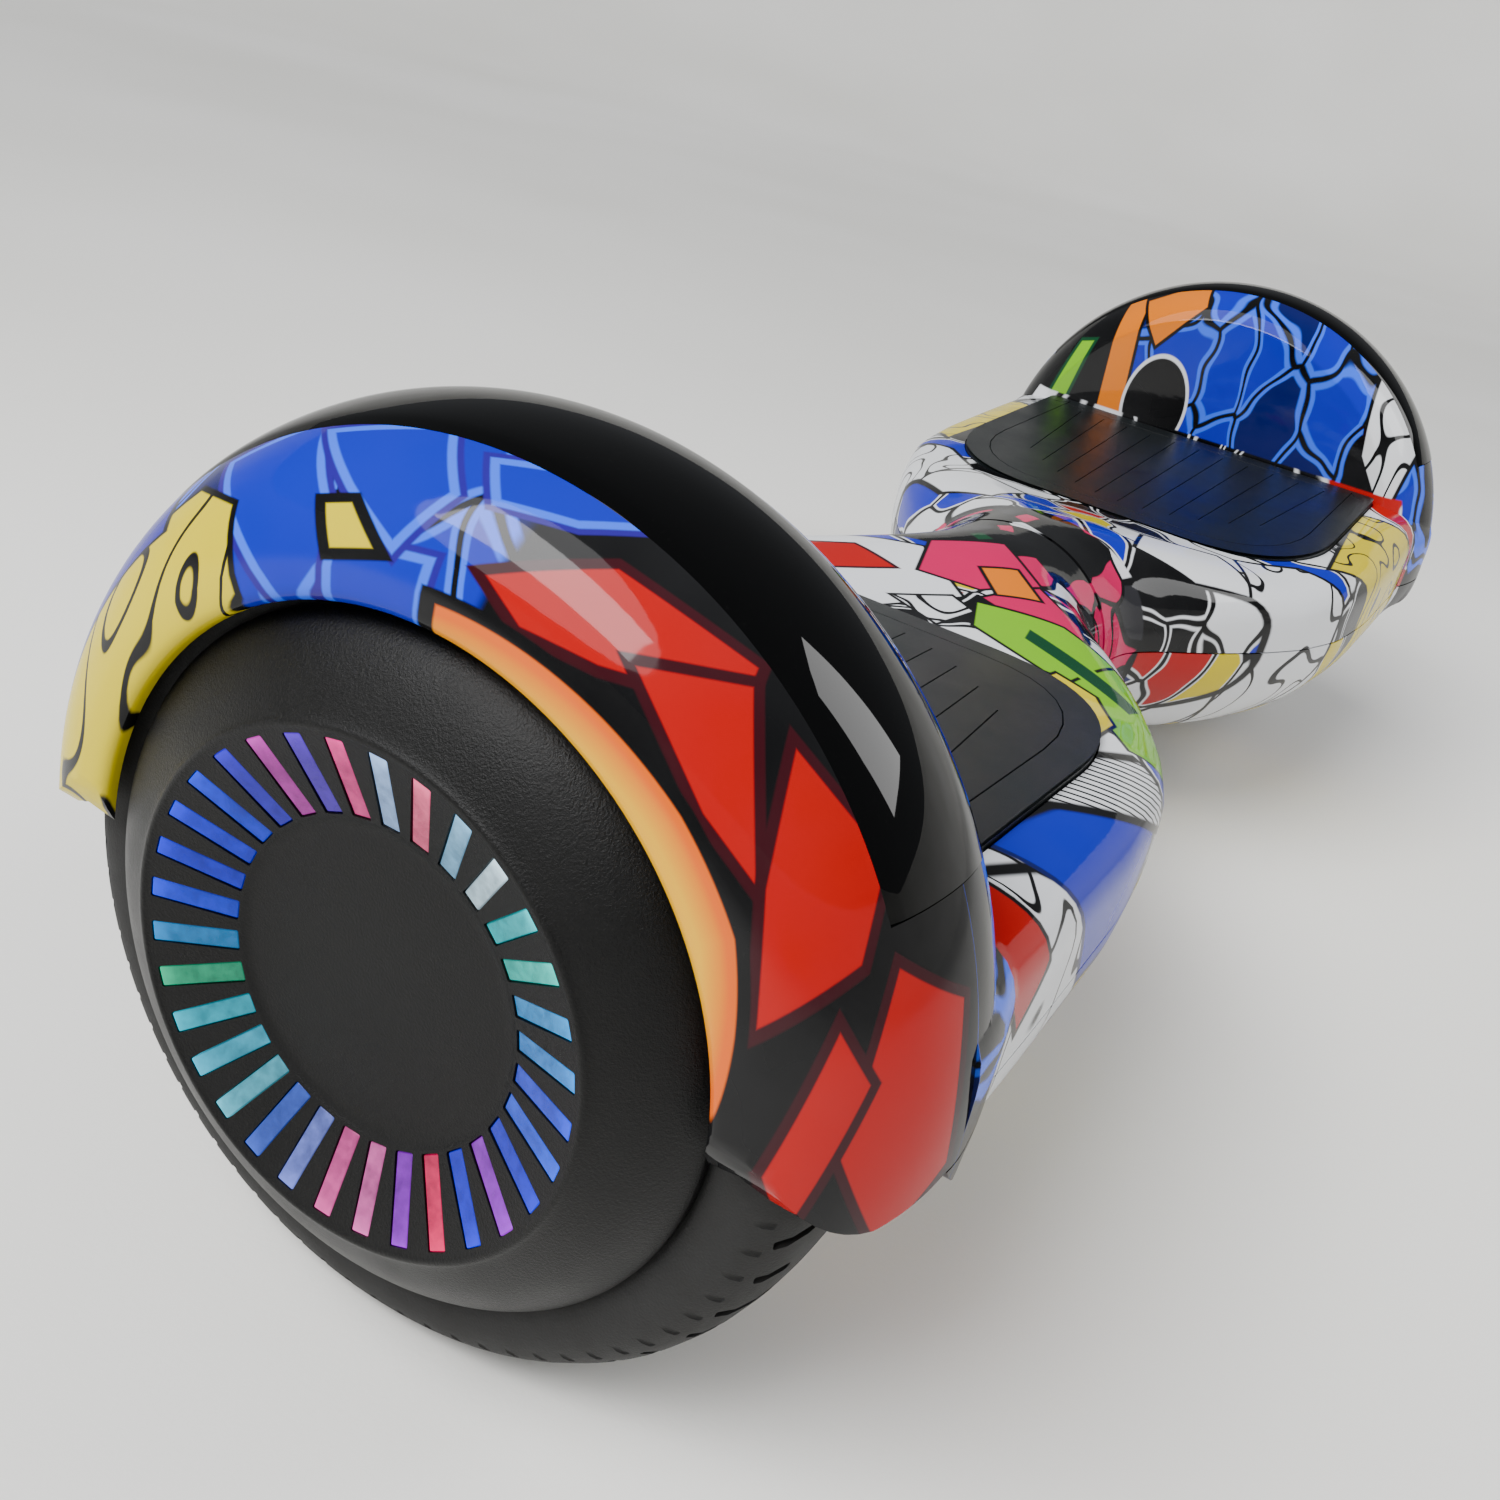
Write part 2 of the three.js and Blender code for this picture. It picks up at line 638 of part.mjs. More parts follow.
// Aluminium casting: floor plate, side ribs, pad posts, axle seat and the hub of the pivot tube.
function chassis(bore, pinHole) {
  const outline = new THREE.Shape();
  outline.moveTo(HUB_U[0] + 24, -16);
  outline.lineTo(HUB_U[0] + 24, 16);
  outline.lineTo(HUB_U[1] + 24, CHASSIS_HALF_WIDTH);
  outline.lineTo(CLAMP_U[1], CHASSIS_HALF_WIDTH);
  outline.lineTo(CLAMP_U[1], -CHASSIS_HALF_WIDTH);
  outline.lineTo(HUB_U[1] + 24, -CHASSIS_HALF_WIDTH);
  const floor = plate(outline, [PLATE_BOTTOM, PLATE_TOP]);
  const ribs = [-1, 1].map((sign) => {
    const y = [sign * CHASSIS_HALF_WIDTH, sign * (CHASSIS_HALF_WIDTH - 4)].sort((a, b) => a - b);
    return block([HUB_U[1] + 24, CLAMP_U[1]], y, [PLATE_BOTTOM, 2]);
  });
  const posts = [HUB_U[1] + 42, CLAMP_U[0] - 8].flatMap((u) =>
    [-1, 1].map((sign) => {
      const top = padTop(u) - PAD_THICKNESS - PAD_TRAVEL - 2 * GAP;
      return post([u, sign * (CHASSIS_HALF_WIDTH - 12)], [PLATE_BOTTOM + 1, top], 5, 8);
    }),
  );
  const seat = block(CLAMP_U, [-SCREW_Y - 8, SCREW_Y + 8], [PLATE_BOTTOM, -GAP / 2]);
  const hub = rod(HUB_U, HUB_RADIUS);
  const web = block([HUB_U[1] - 4, HUB_U[1] + 24], [-3, 3], [PLATE_BOTTOM + 1, PLATE_TOP + 4]);
  const casting = union(floor, ...ribs, ...posts, seat, web, hub);
  const screws = [-1, 1].map((sign) =>
    post([SCREW_U, sign * SCREW_Y], [PLATE_BOTTOM - 5, CLAMP_TOP], SCREW_RADIUS + GAP, 12),
  );
  const axleSeat = rod([CLAMP_U[0] - 5, CLAMP_U[1] + 5], AXLE_RADIUS + GAP);
  return cutBy(casting, rod([HUB_U[0] - 5, HUB_U[1] + 10], bore), axleSeat, pinHole, ...screws);
}

// Cap over the axle, half of its seat.
function axleClamp() {
  const cap = block(CLAMP_U, [-SCREW_Y - 6, SCREW_Y + 6], [GAP / 2, CLAMP_TOP]);
  const holes = [-1, 1].map((sign) =>
    post([SCREW_U, sign * SCREW_Y], [-5, CLAMP_TOP + 5], SCREW_RADIUS + GAP, 12),
  );
  return cutBy(cap, rod([CLAMP_U[0] - 5, CLAMP_U[1] + 5], AXLE_RADIUS + GAP), ...holes);
}

function clampScrew(sign) {
  const at = [SCREW_U, sign * SCREW_Y];
  const head = post(at, [CLAMP_TOP + GAP, CLAMP_TOP + 4], SCREW_RADIUS + 2, 12);
  return head.add(post(at, [PLATE_BOTTOM + 1, CLAMP_TOP + 1], SCREW_RADIUS, 12));
}

// Pins stand down from the tube: one locks it in the left half, one stops the twist of the right.
const pinSpan = [-HUB_RADIUS - 2, -TUBE_RADIUS + TUBE_WALL];
const roundPinHole = () => post([PIN_U, 0], [pinSpan[0] - 5, 0], PIN_RADIUS + GAP, 12);

function pinSlot() {
  const swing = HUB_RADIUS * Math.sin(THREE.MathUtils.degToRad(TWIST_LIMIT + 1));
  const half = swing + PIN_RADIUS + GAP;
  return block(
    [PIN_U - PIN_RADIUS - 1, PIN_U + PIN_RADIUS + 1],
    [-half, half],
    [pinSpan[0] - 5, -TUBE_RADIUS / 2],
  );
}

function pivotTube() {
  const half = TUBE_HALF_LENGTH;
  const tube = ring([-half, half], TUBE_RADIUS - TUBE_WALL, TUBE_RADIUS);
  const holes = [-1, 1].map((sign) =>
    post([sign * PIN_U, 0], [-HUB_RADIUS, 0], PIN_RADIUS + GAP, 12),
  );
  return cutBy(tube, ...holes);
}

// ---- Electrics ---------------------------------------------------------------------------------------

const UNDER_PLATE = PLATE_BOTTOM - 3; // top of what hangs below the chassis plate

function battery() {
  const low = -BELLY_DEPTH + 14.5;
  const across = CHASSIS_HALF_WIDTH - 20;
  const pack = block([96, WELL_U - 15], [-across, across], [low, UNDER_PLATE]);
  const plug = block([86, 97], [-8, 8], [low + 3, low + 10]);
  return pack.add(plug);
}

const SINK_FROM_BELLY = 18; // underside to the controller's heat sink
const SINK_THICKNESS = 9;
const BOARD_Z = -BELLY_DEPTH + SINK_FROM_BELLY + SINK_THICKNESS + 1;

function mainBoard() {
  const across = CHASSIS_HALF_WIDTH - 24;
  const board = block([88, WELL_U - 20], [-across, across], [BOARD_Z, BOARD_Z + 1.6]);
  const cans = [104, 118, 132].map((u) => post([u, 14], [BOARD_Z + 1, UNDER_PLATE], 6, 12));
  return union(board, ...cans);
}

function heatSink() {
  const across = CHASSIS_HALF_WIDTH - 25;
  const low = -BELLY_DEPTH + SINK_FROM_BELLY;
  return block([92, WELL_U - 25], [-across, across], [low, low + SINK_THICKNESS]);
}

// Small board under a pad, with the two switches that the pad presses.
function gyroBoard() {
  const [from, to] = [CLAMP_U[0] - 52, CLAMP_U[0] - 16];
  const middle = (from + to) / 2;
  const board = block([from, to], [-22, 22], [PLATE_TOP + 4, PLATE_TOP + 5.6]);
  const feet = block([from + 4, to - 4], [-18, 18], [PLATE_TOP + GAP, PLATE_TOP + 4.5]);
  const switches = [-1, 1].map((sign) => {
    const y = [sign * 15 - 5, sign * 15 + 5];
    return block([middle - 5, middle + 5], y, [PLATE_TOP + 5, PLATE_TOP + 24]);
  });
  return union(board, feet, ...switches);
}

function chargePort() {
  const low = -BELLY_DEPTH;
  const body = post([PORT_U, 0], [low, low + 17], PORT_RADIUS);
  return body.subtract(post([PORT_U, 0], [low - 5, low + 12], PORT_RADIUS - 4));
}

// Rubber cover of the charging socket: a flap with a plug that enters the socket.
function chargeCap() {
  const top = -BELLY_DEPTH - GAP - 0.2;
  const flap = post([PORT_U, 0], [top - 1.6, top], PORT_RADIUS + 1);
  const plug = post([PORT_U, 0], [top - 1, top + 3], PORT_RADIUS - 5);
  const tab = block([PORT_U + 8, PORT_U + PORT_RADIUS + 4], [-4, 4], [top - 1.6, top]);
  return union(flap, plug, tab);
}

function powerButton() {
  const low = -BELLY_DEPTH;
  return post([BUTTON_U, 0], [low - 1, low + 12], BUTTON_RADIUS);
}

const wireHarness = () => rod([-TUBE_HALF_LENGTH - 6, TUBE_HALF_LENGTH + 6], 4, 10);

// ---- Materials and assembly ------------------------------------------------------------------------------

const finish = (color, roughness, metalness = 0) => ({ color, roughness, metalness });
const FINISH = {
  graphicShell: finish(0x2244cc, 0.12),
  gloss: finish(0x08080a, 0.08),
  rubber: finish(0x1b1d1e, 0.75),
  tyre: finish(0x141414, 0.85),
  grained: finish(0x161616, 0.55),
  aluminium: finish(0xb8bcc0, 0.4, 1),
  steel: finish(0x8c9096, 0.3, 1),
  magnet: finish(0x55585c, 0.4, 1),
  copper: finish(0xb46a3c, 0.4, 1),
  lens: finish(0x9fd8ff, 0.15),
  circuit: finish(0x1d5c34, 0.5),
  nylon: finish(0xe4e0d4, 0.5),
  battery: finish(0x2a4f9c, 0.45),
  wire: finish(0x202020, 0.6),
};

function piece(name, made, look) {
  const material = new THREE.MeshStandardMaterial(FINISH[look]);
  const mesh = new THREE.Mesh(geometryOf(made), material);
  mesh.name = name;
  return mesh;
}

function wheel(side) {
  const group = new THREE.Group();
  group.add(
    piece(`${side}_tyre`, tyre(), "tyre"),
    piece(`${side}_rim`, rim(), "aluminium"),
    piece(`${side}_motor_outer_cover`, outerCover(), "aluminium"),
    piece(`${side}_motor_inner_cover`, innerCover(), "aluminium"),
    piece(`${side}_outer_bearing`, bearing(OUTER_BEARING_U), "steel"),
    piece(`${side}_inner_bearing`, bearing(INNER_BEARING_U), "steel"),
    piece(`${side}_magnet_ring`, magnetRing(), "magnet"),
    piece(`${side}_hub_cap`, hubCap(), "grained"),
    piece(`${side}_light_lens`, lightLens(), "lens"),
    piece(`${side}_led_board`, ledBoard(), "circuit"),
  );
  return group;
}

function half(side, hasPort) {
  const group = new THREE.Group();
  const bore = TUBE_RADIUS + GAP + (hasPort ? BUSH_WALL + GAP : 0);
  group.add(
    piece(`${side}_top_shell`, topShell(), "graphicShell"),
    piece(`${side}_bottom_shell`, bottomShell(hasPort), "graphicShell"),
    piece(`${side}_fender_strip`, fenderStrip(), "gloss"),
    piece(`${side}_front_light`, frontLight(), "lens"),
    piece(`${side}_foot_pad`, padSolid(PAD_THICKNESS), "rubber"),
    piece(`${side}_chassis`, chassis(bore, hasPort ? pinSlot() : roundPinHole()), "aluminium"),
    piece(`${side}_axle_clamp`, axleClamp(), "aluminium"),
    piece(`${side}_clamp_screw_front`, clampScrew(-1), "steel"),
    piece(`${side}_clamp_screw_rear`, clampScrew(1), "steel"),
    piece(`${side}_axle`, axle(), "steel"),
    piece(`${side}_stator`, stator(), "copper"),
    piece(`${side}_gyro_board`, gyroBoard(), "circuit"),
    piece(`${side}_pivot_pin`, post([PIN_U, 0], pinSpan, PIN_RADIUS, 12), "steel"),
    wheel(side),
  );
  return group;
}

const left = half("left", false);
left.add(piece("battery_pack", battery(), "battery"));

const bushInner = TUBE_RADIUS + GAP;
const bushOuter = TUBE_RADIUS + GAP + BUSH_WALL;
const right = half("right", true);
right.scale.x = -1;
right.add(
  piece("pivot_bush_inner", ring([HUB_U[0], HUB_U[0] + 18], bushInner, bushOuter), "nylon"),
  piece("pivot_bush_outer", ring([HUB_U[1] - 18, HUB_U[1]], bushInner, bushOuter), "nylon"),
  piece("retaining_ring", ring([HUB_U[1] + 1, HUB_U[1] + 3], TUBE_RADIUS + GAP, TUBE_RADIUS + 2.8), "steel"),
  piece("main_board", mainBoard(), "circuit"),
  piece("heat_sink", heatSink(), "aluminium"),
  piece("charge_port", chargePort(), "gloss"),
  piece("charge_cap", chargeCap(), "rubber"),
  piece("power_button", powerButton(), "gloss"),
);

const board = new THREE.Group();
board.position.z = WHEEL_RADIUS;
board.add(left, right);
board.add(piece("pivot_tube", pivotTube(), "steel"), piece("wire_harness", wireHarness(), "wire"));

export default board;
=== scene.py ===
"""Looks of a self-balancing two-wheel board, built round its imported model.

Sizes are millimetres until a mesh is made. A piece of a half is made with u, the distance from the
middle of the board, in place of x, and with z counted from the axle; the right half is its mirror.
"""
import math

import bmesh
import bpy
import numpy as np
from mathutils import Matrix, Vector


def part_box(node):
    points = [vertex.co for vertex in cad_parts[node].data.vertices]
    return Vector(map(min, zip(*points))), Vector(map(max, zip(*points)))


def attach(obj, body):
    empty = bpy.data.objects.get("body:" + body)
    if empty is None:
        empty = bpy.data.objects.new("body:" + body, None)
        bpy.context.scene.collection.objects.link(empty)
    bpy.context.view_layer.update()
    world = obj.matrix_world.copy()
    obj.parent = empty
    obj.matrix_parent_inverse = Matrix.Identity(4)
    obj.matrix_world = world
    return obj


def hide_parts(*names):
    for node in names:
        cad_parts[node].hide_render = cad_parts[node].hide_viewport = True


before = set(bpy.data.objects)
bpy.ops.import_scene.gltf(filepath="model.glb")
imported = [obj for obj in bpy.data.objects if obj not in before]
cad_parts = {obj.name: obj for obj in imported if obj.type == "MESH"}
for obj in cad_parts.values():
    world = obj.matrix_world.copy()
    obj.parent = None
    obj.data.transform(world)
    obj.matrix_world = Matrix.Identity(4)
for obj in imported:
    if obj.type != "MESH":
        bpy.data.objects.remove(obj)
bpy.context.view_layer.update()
MM = 0.001

# ---- Sizes ---------------------------------------------------------------------------------------


def corners(node):
    """Lowest and highest corner of a CAD node, in millimetres."""
    low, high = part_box(node)
    return low / MM, high / MM


AXLE_Z = corners("left_tyre")[1].z / 2
WHEEL_RADIUS = AXLE_Z
HALF_LENGTH = corners("left_hub_cap")[1].x
WHEEL_U = (corners("left_tyre")[0].x + corners("left_tyre")[1].x) / 2
TYRE_HALF = (corners("left_tyre")[1].x - corners("left_tyre")[0].x) / 2
ARCH_RADIUS = corners("left_top_shell")[1].y
GROUND_CLEARANCE = corners("charge_port")[0].z
PAD_INNER = corners("left_foot_pad")[0].x
PAD_OUTER = corners("left_foot_pad")[1].x
PAD_HALF_WIDTH = corners("left_foot_pad")[1].y

RIM_RADIUS = 60
RIM_HALF = 20
WELL_U = HALF_LENGTH - 65.4  # outer face of the wheel-well wall
ARCH_U = HALF_LENGTH - 39.9  # crest of the arch
OPENING_U = HALF_LENGTH - 7
OPENING_RADIUS = RIM_RADIUS + 5.9
FACE_U = OPENING_U + 1  # outermost point of the arch's face
WALL = 2.5
GAP = 0.3
SEAM = 1
PARTING_GAP = 0.5
COLLAR_RADIUS = 35.7
COLLAR_DROP = 2.4
BODY_HALF_WIDTH = ARCH_RADIUS - 4
BELLY_DEPTH = AXLE_Z - GROUND_CLEARANCE
DECK_HEIGHT = 24.7
DECK_SLOPE = 0.0537
PAD_PROUD = 1
PAD_GAP = 0.5
STRIP_INNER_U = WELL_U + 11
STRIP_OUTER_U = ARCH_U + 17.5
STRIP_ANGLE = 60  # degrees each side of the top
STRIP_THICKNESS = 2
STRIP_LIFT = 0.3  # how far the strip stands out of the arch
STRIP_EDGE = 0.5  # how far its edges are rounded below the arch
TIP_DROP = 4.5
SKIRT_DROP = 10
SKIRT_END_U = ARCH_U + 3
ARCH_FOOT = 2.4 * SKIRT_DROP  # the arch ends this far below the axle, inside the body
WINDOW_COUNT = 32
WINDOW_WIDTH = 4
WINDOW_INNER = 30.7
WINDOW_OUTER = 46
DISH_MARGIN = 0.8
DISH_ANGLE = math.radians(21)
CAP_SEAT = OPENING_U - 7.2
CAP_WALL = 2.2
PORT_U = 122
PORT_RADIUS = 11
BUTTON_U = 162
BUTTON_RADIUS = 8
AXLE_HOLE = 11

SIDES = {"left": 1, "right": -1}

# ---- Meshes --------------------------------------------------------------------------------------


def add_object(name, data):
    made = bpy.data.objects.new(name, data)
    bpy.context.scene.collection.objects.link(made)
    return made


def mesh_piece(name, points, faces, sign=1):
    """A mesh from points in millimetres, z from the axle; a sign of -1 mirrors it."""
    mesh = bpy.data.meshes.new(name)
    placed = [(sign * x * MM, y * MM, (z + AXLE_Z) * MM) for x, y, z in points]
    mesh.from_pydata(placed, [], [list(face) for face in faces])
    made = bmesh.new()
    made.from_mesh(mesh)
    bmesh.ops.remove_doubles(made, verts=made.verts, dist=1e-7)
    bmesh.ops.recalc_face_normals(made, faces=made.faces)
    made.to_mesh(mesh)
    made.free()
    return add_object(name, mesh)


def tube_faces(rings, count, closed_rings, first=0):
    """Quads between rings of count points; closed_rings joins the last ring to the first."""
    faces = []
    for i in range(rings if closed_rings else rings - 1):
        for j in range(count):
            a, b = i * count + j, i * count + (j + 1) % count
            c, d = (i + 1) % rings * count + (j + 1) % count, (i + 1) % rings * count + j
            faces.append((first + a, first + b, first + c, first + d))
    return faces


def turned(name, profile, segments=128, sign=1, axis="X", centre=(0, 0)):
    """A solid turned about the axle line, or about a vertical line, from [along, radius] points."""
    points = []
    for k in range(segments):
        angle = 2 * math.pi * k / segments
        for along, radius in profile:
            s, c = radius * math.sin(angle), radius * math.cos(angle)
            points.append((along, s, c) if axis == "X" else (centre[0] + s, centre[1] + c, along))
    return mesh_piece(name, points, tube_faces(segments, len(profile), True), sign)


def loft(name, rings, sign=1):
    """A solid through rings of points, closed by flat ends."""
    count = len(rings[0])
    points = [point for ring in rings for point in ring]
    faces = tube_faces(len(rings), count, False)
    last = (len(rings) - 1) * count
    faces += [tuple(range(count))[::-1], tuple(range(last, last + count))]
    return mesh_piece(name, points, faces, sign)


def prism(name, outline, span, axis, sign=1):
    """An outline run along an axis: [x, y] points along Z, or [x, z] points along Y."""
    def place(a, b, along):
        return (a, b, along) if axis == "Z" else (a, along, b)
    return loft(name, [[place(a, b, along) for a, b in outline] for along in span], sign)


def boxes(name, size, places, sign=1, edge=0.0):
    """Rounded blocks of one size, each put in place by a matrix in millimetres."""
    made = bmesh.new()
    for place in places:
        before = set(made.verts)
        bmesh.ops.create_cube(made, size=1)
        verts = [vert for vert in made.verts if vert not in before]
        bmesh.ops.scale(made, vec=size, verts=verts)
        if edge:
            edges = list({e for vert in verts for e in vert.link_edges})
            bmesh.ops.bevel(
                made, geom=edges, offset=edge, segments=3, affect="EDGES", profile=0.5)
            verts = [vert for vert in made.verts if vert not in before]
        bmesh.ops.transform(made, matrix=place, verts=verts)
    points = [tuple(vert.co) for vert in made.verts]
    made.verts.index_update()
    faces = [[vert.index for vert in face.verts] for face in made.faces]
    made.free()
    return mesh_piece(name, points, faces, sign)


def combine(base, tool, operation):
    """Joins, cuts or intersects base with tool, and removes the tool."""
    modifier = base.modifiers.new("combine", "BOOLEAN")
    modifier.operation = operation
    modifier.solver = "MANIFOLD"
    modifier.object = tool
    evaluated = base.evaluated_get(bpy.context.evaluated_depsgraph_get())
    mesh = bpy.data.meshes.new_from_object(evaluated)
    base.modifiers.clear()
    old = base.data
    base.data = mesh
    bpy.data.meshes.remove(old)
    bpy.data.objects.remove(tool)


def cut(base, *tools):
    for tool in tools:
        combine(base, tool, "DIFFERENCE")


def smooth(piece, angle=38):
    """Smooth shading with edges sharper than angle kept sharp."""
    piece.data.shade_smooth()
    piece.data.set_sharp_from_angle(angle=math.radians(angle))
    piece.modifiers.new("even shading", "WEIGHTED_NORMAL").keep_sharp = True
    return piece


def arc(start, end, bulge_start, bulge_end, steps):
    """Points of a cubic curve from start to end, with its two handles."""
    found = []
    for k in range(steps + 1):
        t = k / steps
        weights = ((1 - t) ** 3, 3 * t * (1 - t) ** 2, 3 * t * t * (1 - t), t ** 3)
        handles = (start, bulge_start, bulge_end, end)
        found.append(tuple(sum(w * p[i] for w, p in zip(weights, handles)) for i in (0, 1)))
    return found


# ---- Form of a half ------------------------------------------------------------------------------


def pad_top(u):
    return DECK_HEIGHT + DECK_SLOPE * (u - PAD_INNER)


def deck_at(u):
    return pad_top(u) - PAD_PROUD


COLLAR_TOP = COLLAR_RADIUS - COLLAR_DROP
COLLAR_BOTTOM = COLLAR_RADIUS + COLLAR_DROP
NECK_TOP = 26.2
# u, share of the way to the body's half width, top, share of the way to the belly, squareness
SECTIONS = np.array([
    (SEAM, 0, COLLAR_TOP, 0, 2),
    (20, 0.02, COLLAR_TOP, 0, 2),
    (34, 0.16, 32, 0.1, 2.3),
    (50, 0.38, 29, 0.3, 3),
    (68, 0.58, NECK_TOP, 0.5, 4),
    (PAD_INNER + 3, 0.78, deck_at(PAD_INNER), 0.7, 5),
    (116, 0.925, deck_at(116), 0.9, 6),
    (150, 0.985, deck_at(150), 1, 6),
    (WELL_U - 20, 1, deck_at(WELL_U - 20), 1, 6),
    (WELL_U, 1, deck_at(WELL_U), 1, 6),
])
SECTION_STEP = 2.5
SECTION_SOFTEN = 7  # how far along the body its sections are averaged
RING_POINTS = 144
CURVE_STEPS = 1200  # for measuring along a section
SPREAD_STEPS = 8  # from the well wall to the arch's crest


def section_rows():
    """The body's sections at close steps, softened along its length."""
    us = np.arange(SEAM, WELL_U + SECTION_STEP / 2, SECTION_STEP)
    us[-1] = WELL_U
    reach = np.linspace(-2, 2, 17)
    weights = np.exp(-reach ** 2)
    weights /= weights.sum()
    rows = []
    for u in us:
        near = min(SECTION_SOFTEN, (u - SEAM) / 2, (WELL_U - u) / 2)
        wide, top, deep, square = [
            np.interp(u + reach * near, SECTIONS[:, 0], column) @ weights
            for column in SECTIONS.T[1:]
        ]
        width = COLLAR_RADIUS + (BODY_HALF_WIDTH - COLLAR_RADIUS) * wide
        belly = COLLAR_BOTTOM + (BELLY_DEPTH - COLLAR_BOTTOM) * deep
        rows.append((u, width, top, belly, square))
    return rows


def section_ring(u, width, top, belly, square, inset=0.0):
    """One cross-section, its points evenly spaced round each of its two halves."""
    ring = []
    for height, power in ((top, 2 / square), (-belly, 1)):
        angle = np.linspace(0, math.pi, CURVE_STEPS)
        if height < 0:
            angle = angle[::-1]
        y = (width - inset) * np.sign(np.cos(angle)) * np.abs(np.cos(angle)) ** power
        z = math.copysign(abs(height) - inset, height) * np.sin(angle) ** power
        run = np.concatenate([[0], np.cumsum(np.hypot(np.diff(y), np.diff(z)))])
        even = np.linspace(0, run[-1], RING_POINTS // 2 + 1)[:-1]
        ring += [(u, a, b) for a, b in zip(np.interp(even, run, y), np.interp(even, run, z))]
    return ring


def body_solid(name, sign):
    """Solid body, spread at its outer end so that it meets the arch."""
    rows = section_rows()
    rings = [section_ring(*row) for row in rows]
    u, width, top, belly, square = rows[-1]
    for k in range(1, SPREAD_STEPS + 1):
        part = k / SPREAD_STEPS
        wide = width + (ARCH_RADIUS - 0.2 - width) * math.sin(part * math.pi / 2)
        rings.append(section_ring(u + (ARCH_U - u) * part, wide, top, belly, square))
    return loft(name, rings, sign)


def body_hollow(name, sign):
    """The room inside the body's wall, open towards the waist."""
    rings = [section_ring(*row, inset=WALL) for row in section_rows()]
    rings[0] = [(SEAM - 2, y, z) for u, y, z in rings[0]]
    rings[-1] = [(WELL_U - WALL, y, z) for u, y, z in rings[-1]]
    return loft(name, rings, sign)


def face_curve(crest_inset, face_inset, steps):
    """Round stretch of the arch's profile, from its crest to its flat face."""
    height = ARCH_RADIUS - OPENING_RADIUS
    crest = ARCH_RADIUS - crest_inset
    face = FACE_U - face_inset
    return arc(
        (ARCH_U, crest),
        (face, OPENING_RADIUS + 0.2 * height),
        (ARCH_U + 11.5, crest),
        (face - 3.4, crest - 0.19 * height),
        steps,
    )


def arch_profile(inset=0.0):
    """Outer profile of the arch, from the well wall over the crest to the rounded opening edge."""
    crest = ARCH_RADIUS - inset
    start = WELL_U - WALL
    inner = arc(
        (start, crest - 15), (ARCH_U, crest), (start + 3.5, crest - 7), (start + 13.5, crest), 18)
    lip = arc(
        (FACE_U - inset, OPENING_RADIUS + 3),
        (OPENING_U - 1.2, OPENING_RADIUS),
        (FACE_U - inset, OPENING_RADIUS + 1),
        (OPENING_U, OPENING_RADIUS),
        5,
    )
    return [(start, 0)] + inner + face_curve(inset, inset, 24)[1:] + lip


def well_profile():
    """Profile of the room for the wheel, out past the end of the board."""
    deepen = WALL + STRIP_THICKNESS
    wall = arc(
        (WELL_U, ARCH_RADIUS - 19),
        (ARCH_U, ARCH_RADIUS - deepen),
        (WELL_U + 3, ARCH_RADIUS - 10),
        (WELL_U + 14, ARCH_RADIUS - deepen),
        14,
    )
    return (
        [(WELL_U, 0)] + wall + face_curve(deepen, WALL, 16)[1:]
        + [(OPENING_U - WALL, OPENING_RADIUS)]
        + [(HALF_LENGTH + 10, OPENING_RADIUS), (HALF_LENGTH + 10, 0)]
    )


ARCH_SEGMENTS = 180
STRIP_STEPS = 120
TIP_TOP = 13
FAR = 2 * ARCH_RADIUS  # beyond anything that is cut


def quadratic(start, handle, end, steps=10):
    """Points after start on a curve to end with one handle."""
    points = []
    for k in range(1, steps + 1):
        t = k / steps
        weights = ((1 - t) ** 2, 2 * t * (1 - t), t * t)
        points.append(tuple(
            sum(w * p[i] for w, p in zip(weights, (start, handle, end))) for i in (0, 1)))
    return points


def upper_outline():
    """What the upper casing keeps, in u and z: above the seam and outside the arch's tip."""
    floor = PARTING_GAP / 2
    tip = (OPENING_U - 14, -TIP_DROP)
    rise = quadratic(tip, (FACE_U - 2, -TIP_DROP), (FACE_U + 1, TIP_TOP))
    return (
        [(-FAR, floor), (SKIRT_END_U + 1, floor), tip] + rise
        + [(HALF_LENGTH + 5, TIP_TOP), (HALF_LENGTH + 5, FAR), (-FAR, FAR)]
    )


def lower_outline():
    """What the lower casing keeps, in u and z: below the seam and within the skirt."""
    ceiling = -PARTING_GAP / 2
    end = (SKIRT_END_U, ceiling)
    skirt = (WELL_U + 9, -SKIRT_DROP)
    well = (WELL_U, -1.8 * SKIRT_DROP)
    return (
        [(-FAR, ceiling), end] + quadratic(end, (SKIRT_END_U - 8, -SKIRT_DROP), skirt)
        + quadratic(skirt, (WELL_U, -SKIRT_DROP), well) + [(WELL_U, -FAR), (-FAR, -FAR)]
    )


def pad_outline(grow=0.0, steps=16):
    """Outline of a foot pad in u and y, with its two long corners towards the middle."""
    inner, outer, side = PAD_INNER - grow, PAD_OUTER + grow, PAD_HALF_WIDTH + grow
    corner_u, corner_y = PAD_INNER + 56, PAD_HALF_WIDTH - 43
    rear = arc(
        (inner, corner_y), (corner_u, side), (inner, corner_y + 27), (corner_u - 34, side), steps)
    end = arc((outer - 3, side), (outer, side - 3), (outer - 1, side), (outer, side - 1), 4)
    half = rear + end
    return half + [(u, -y) for u, y in half[::-1]]


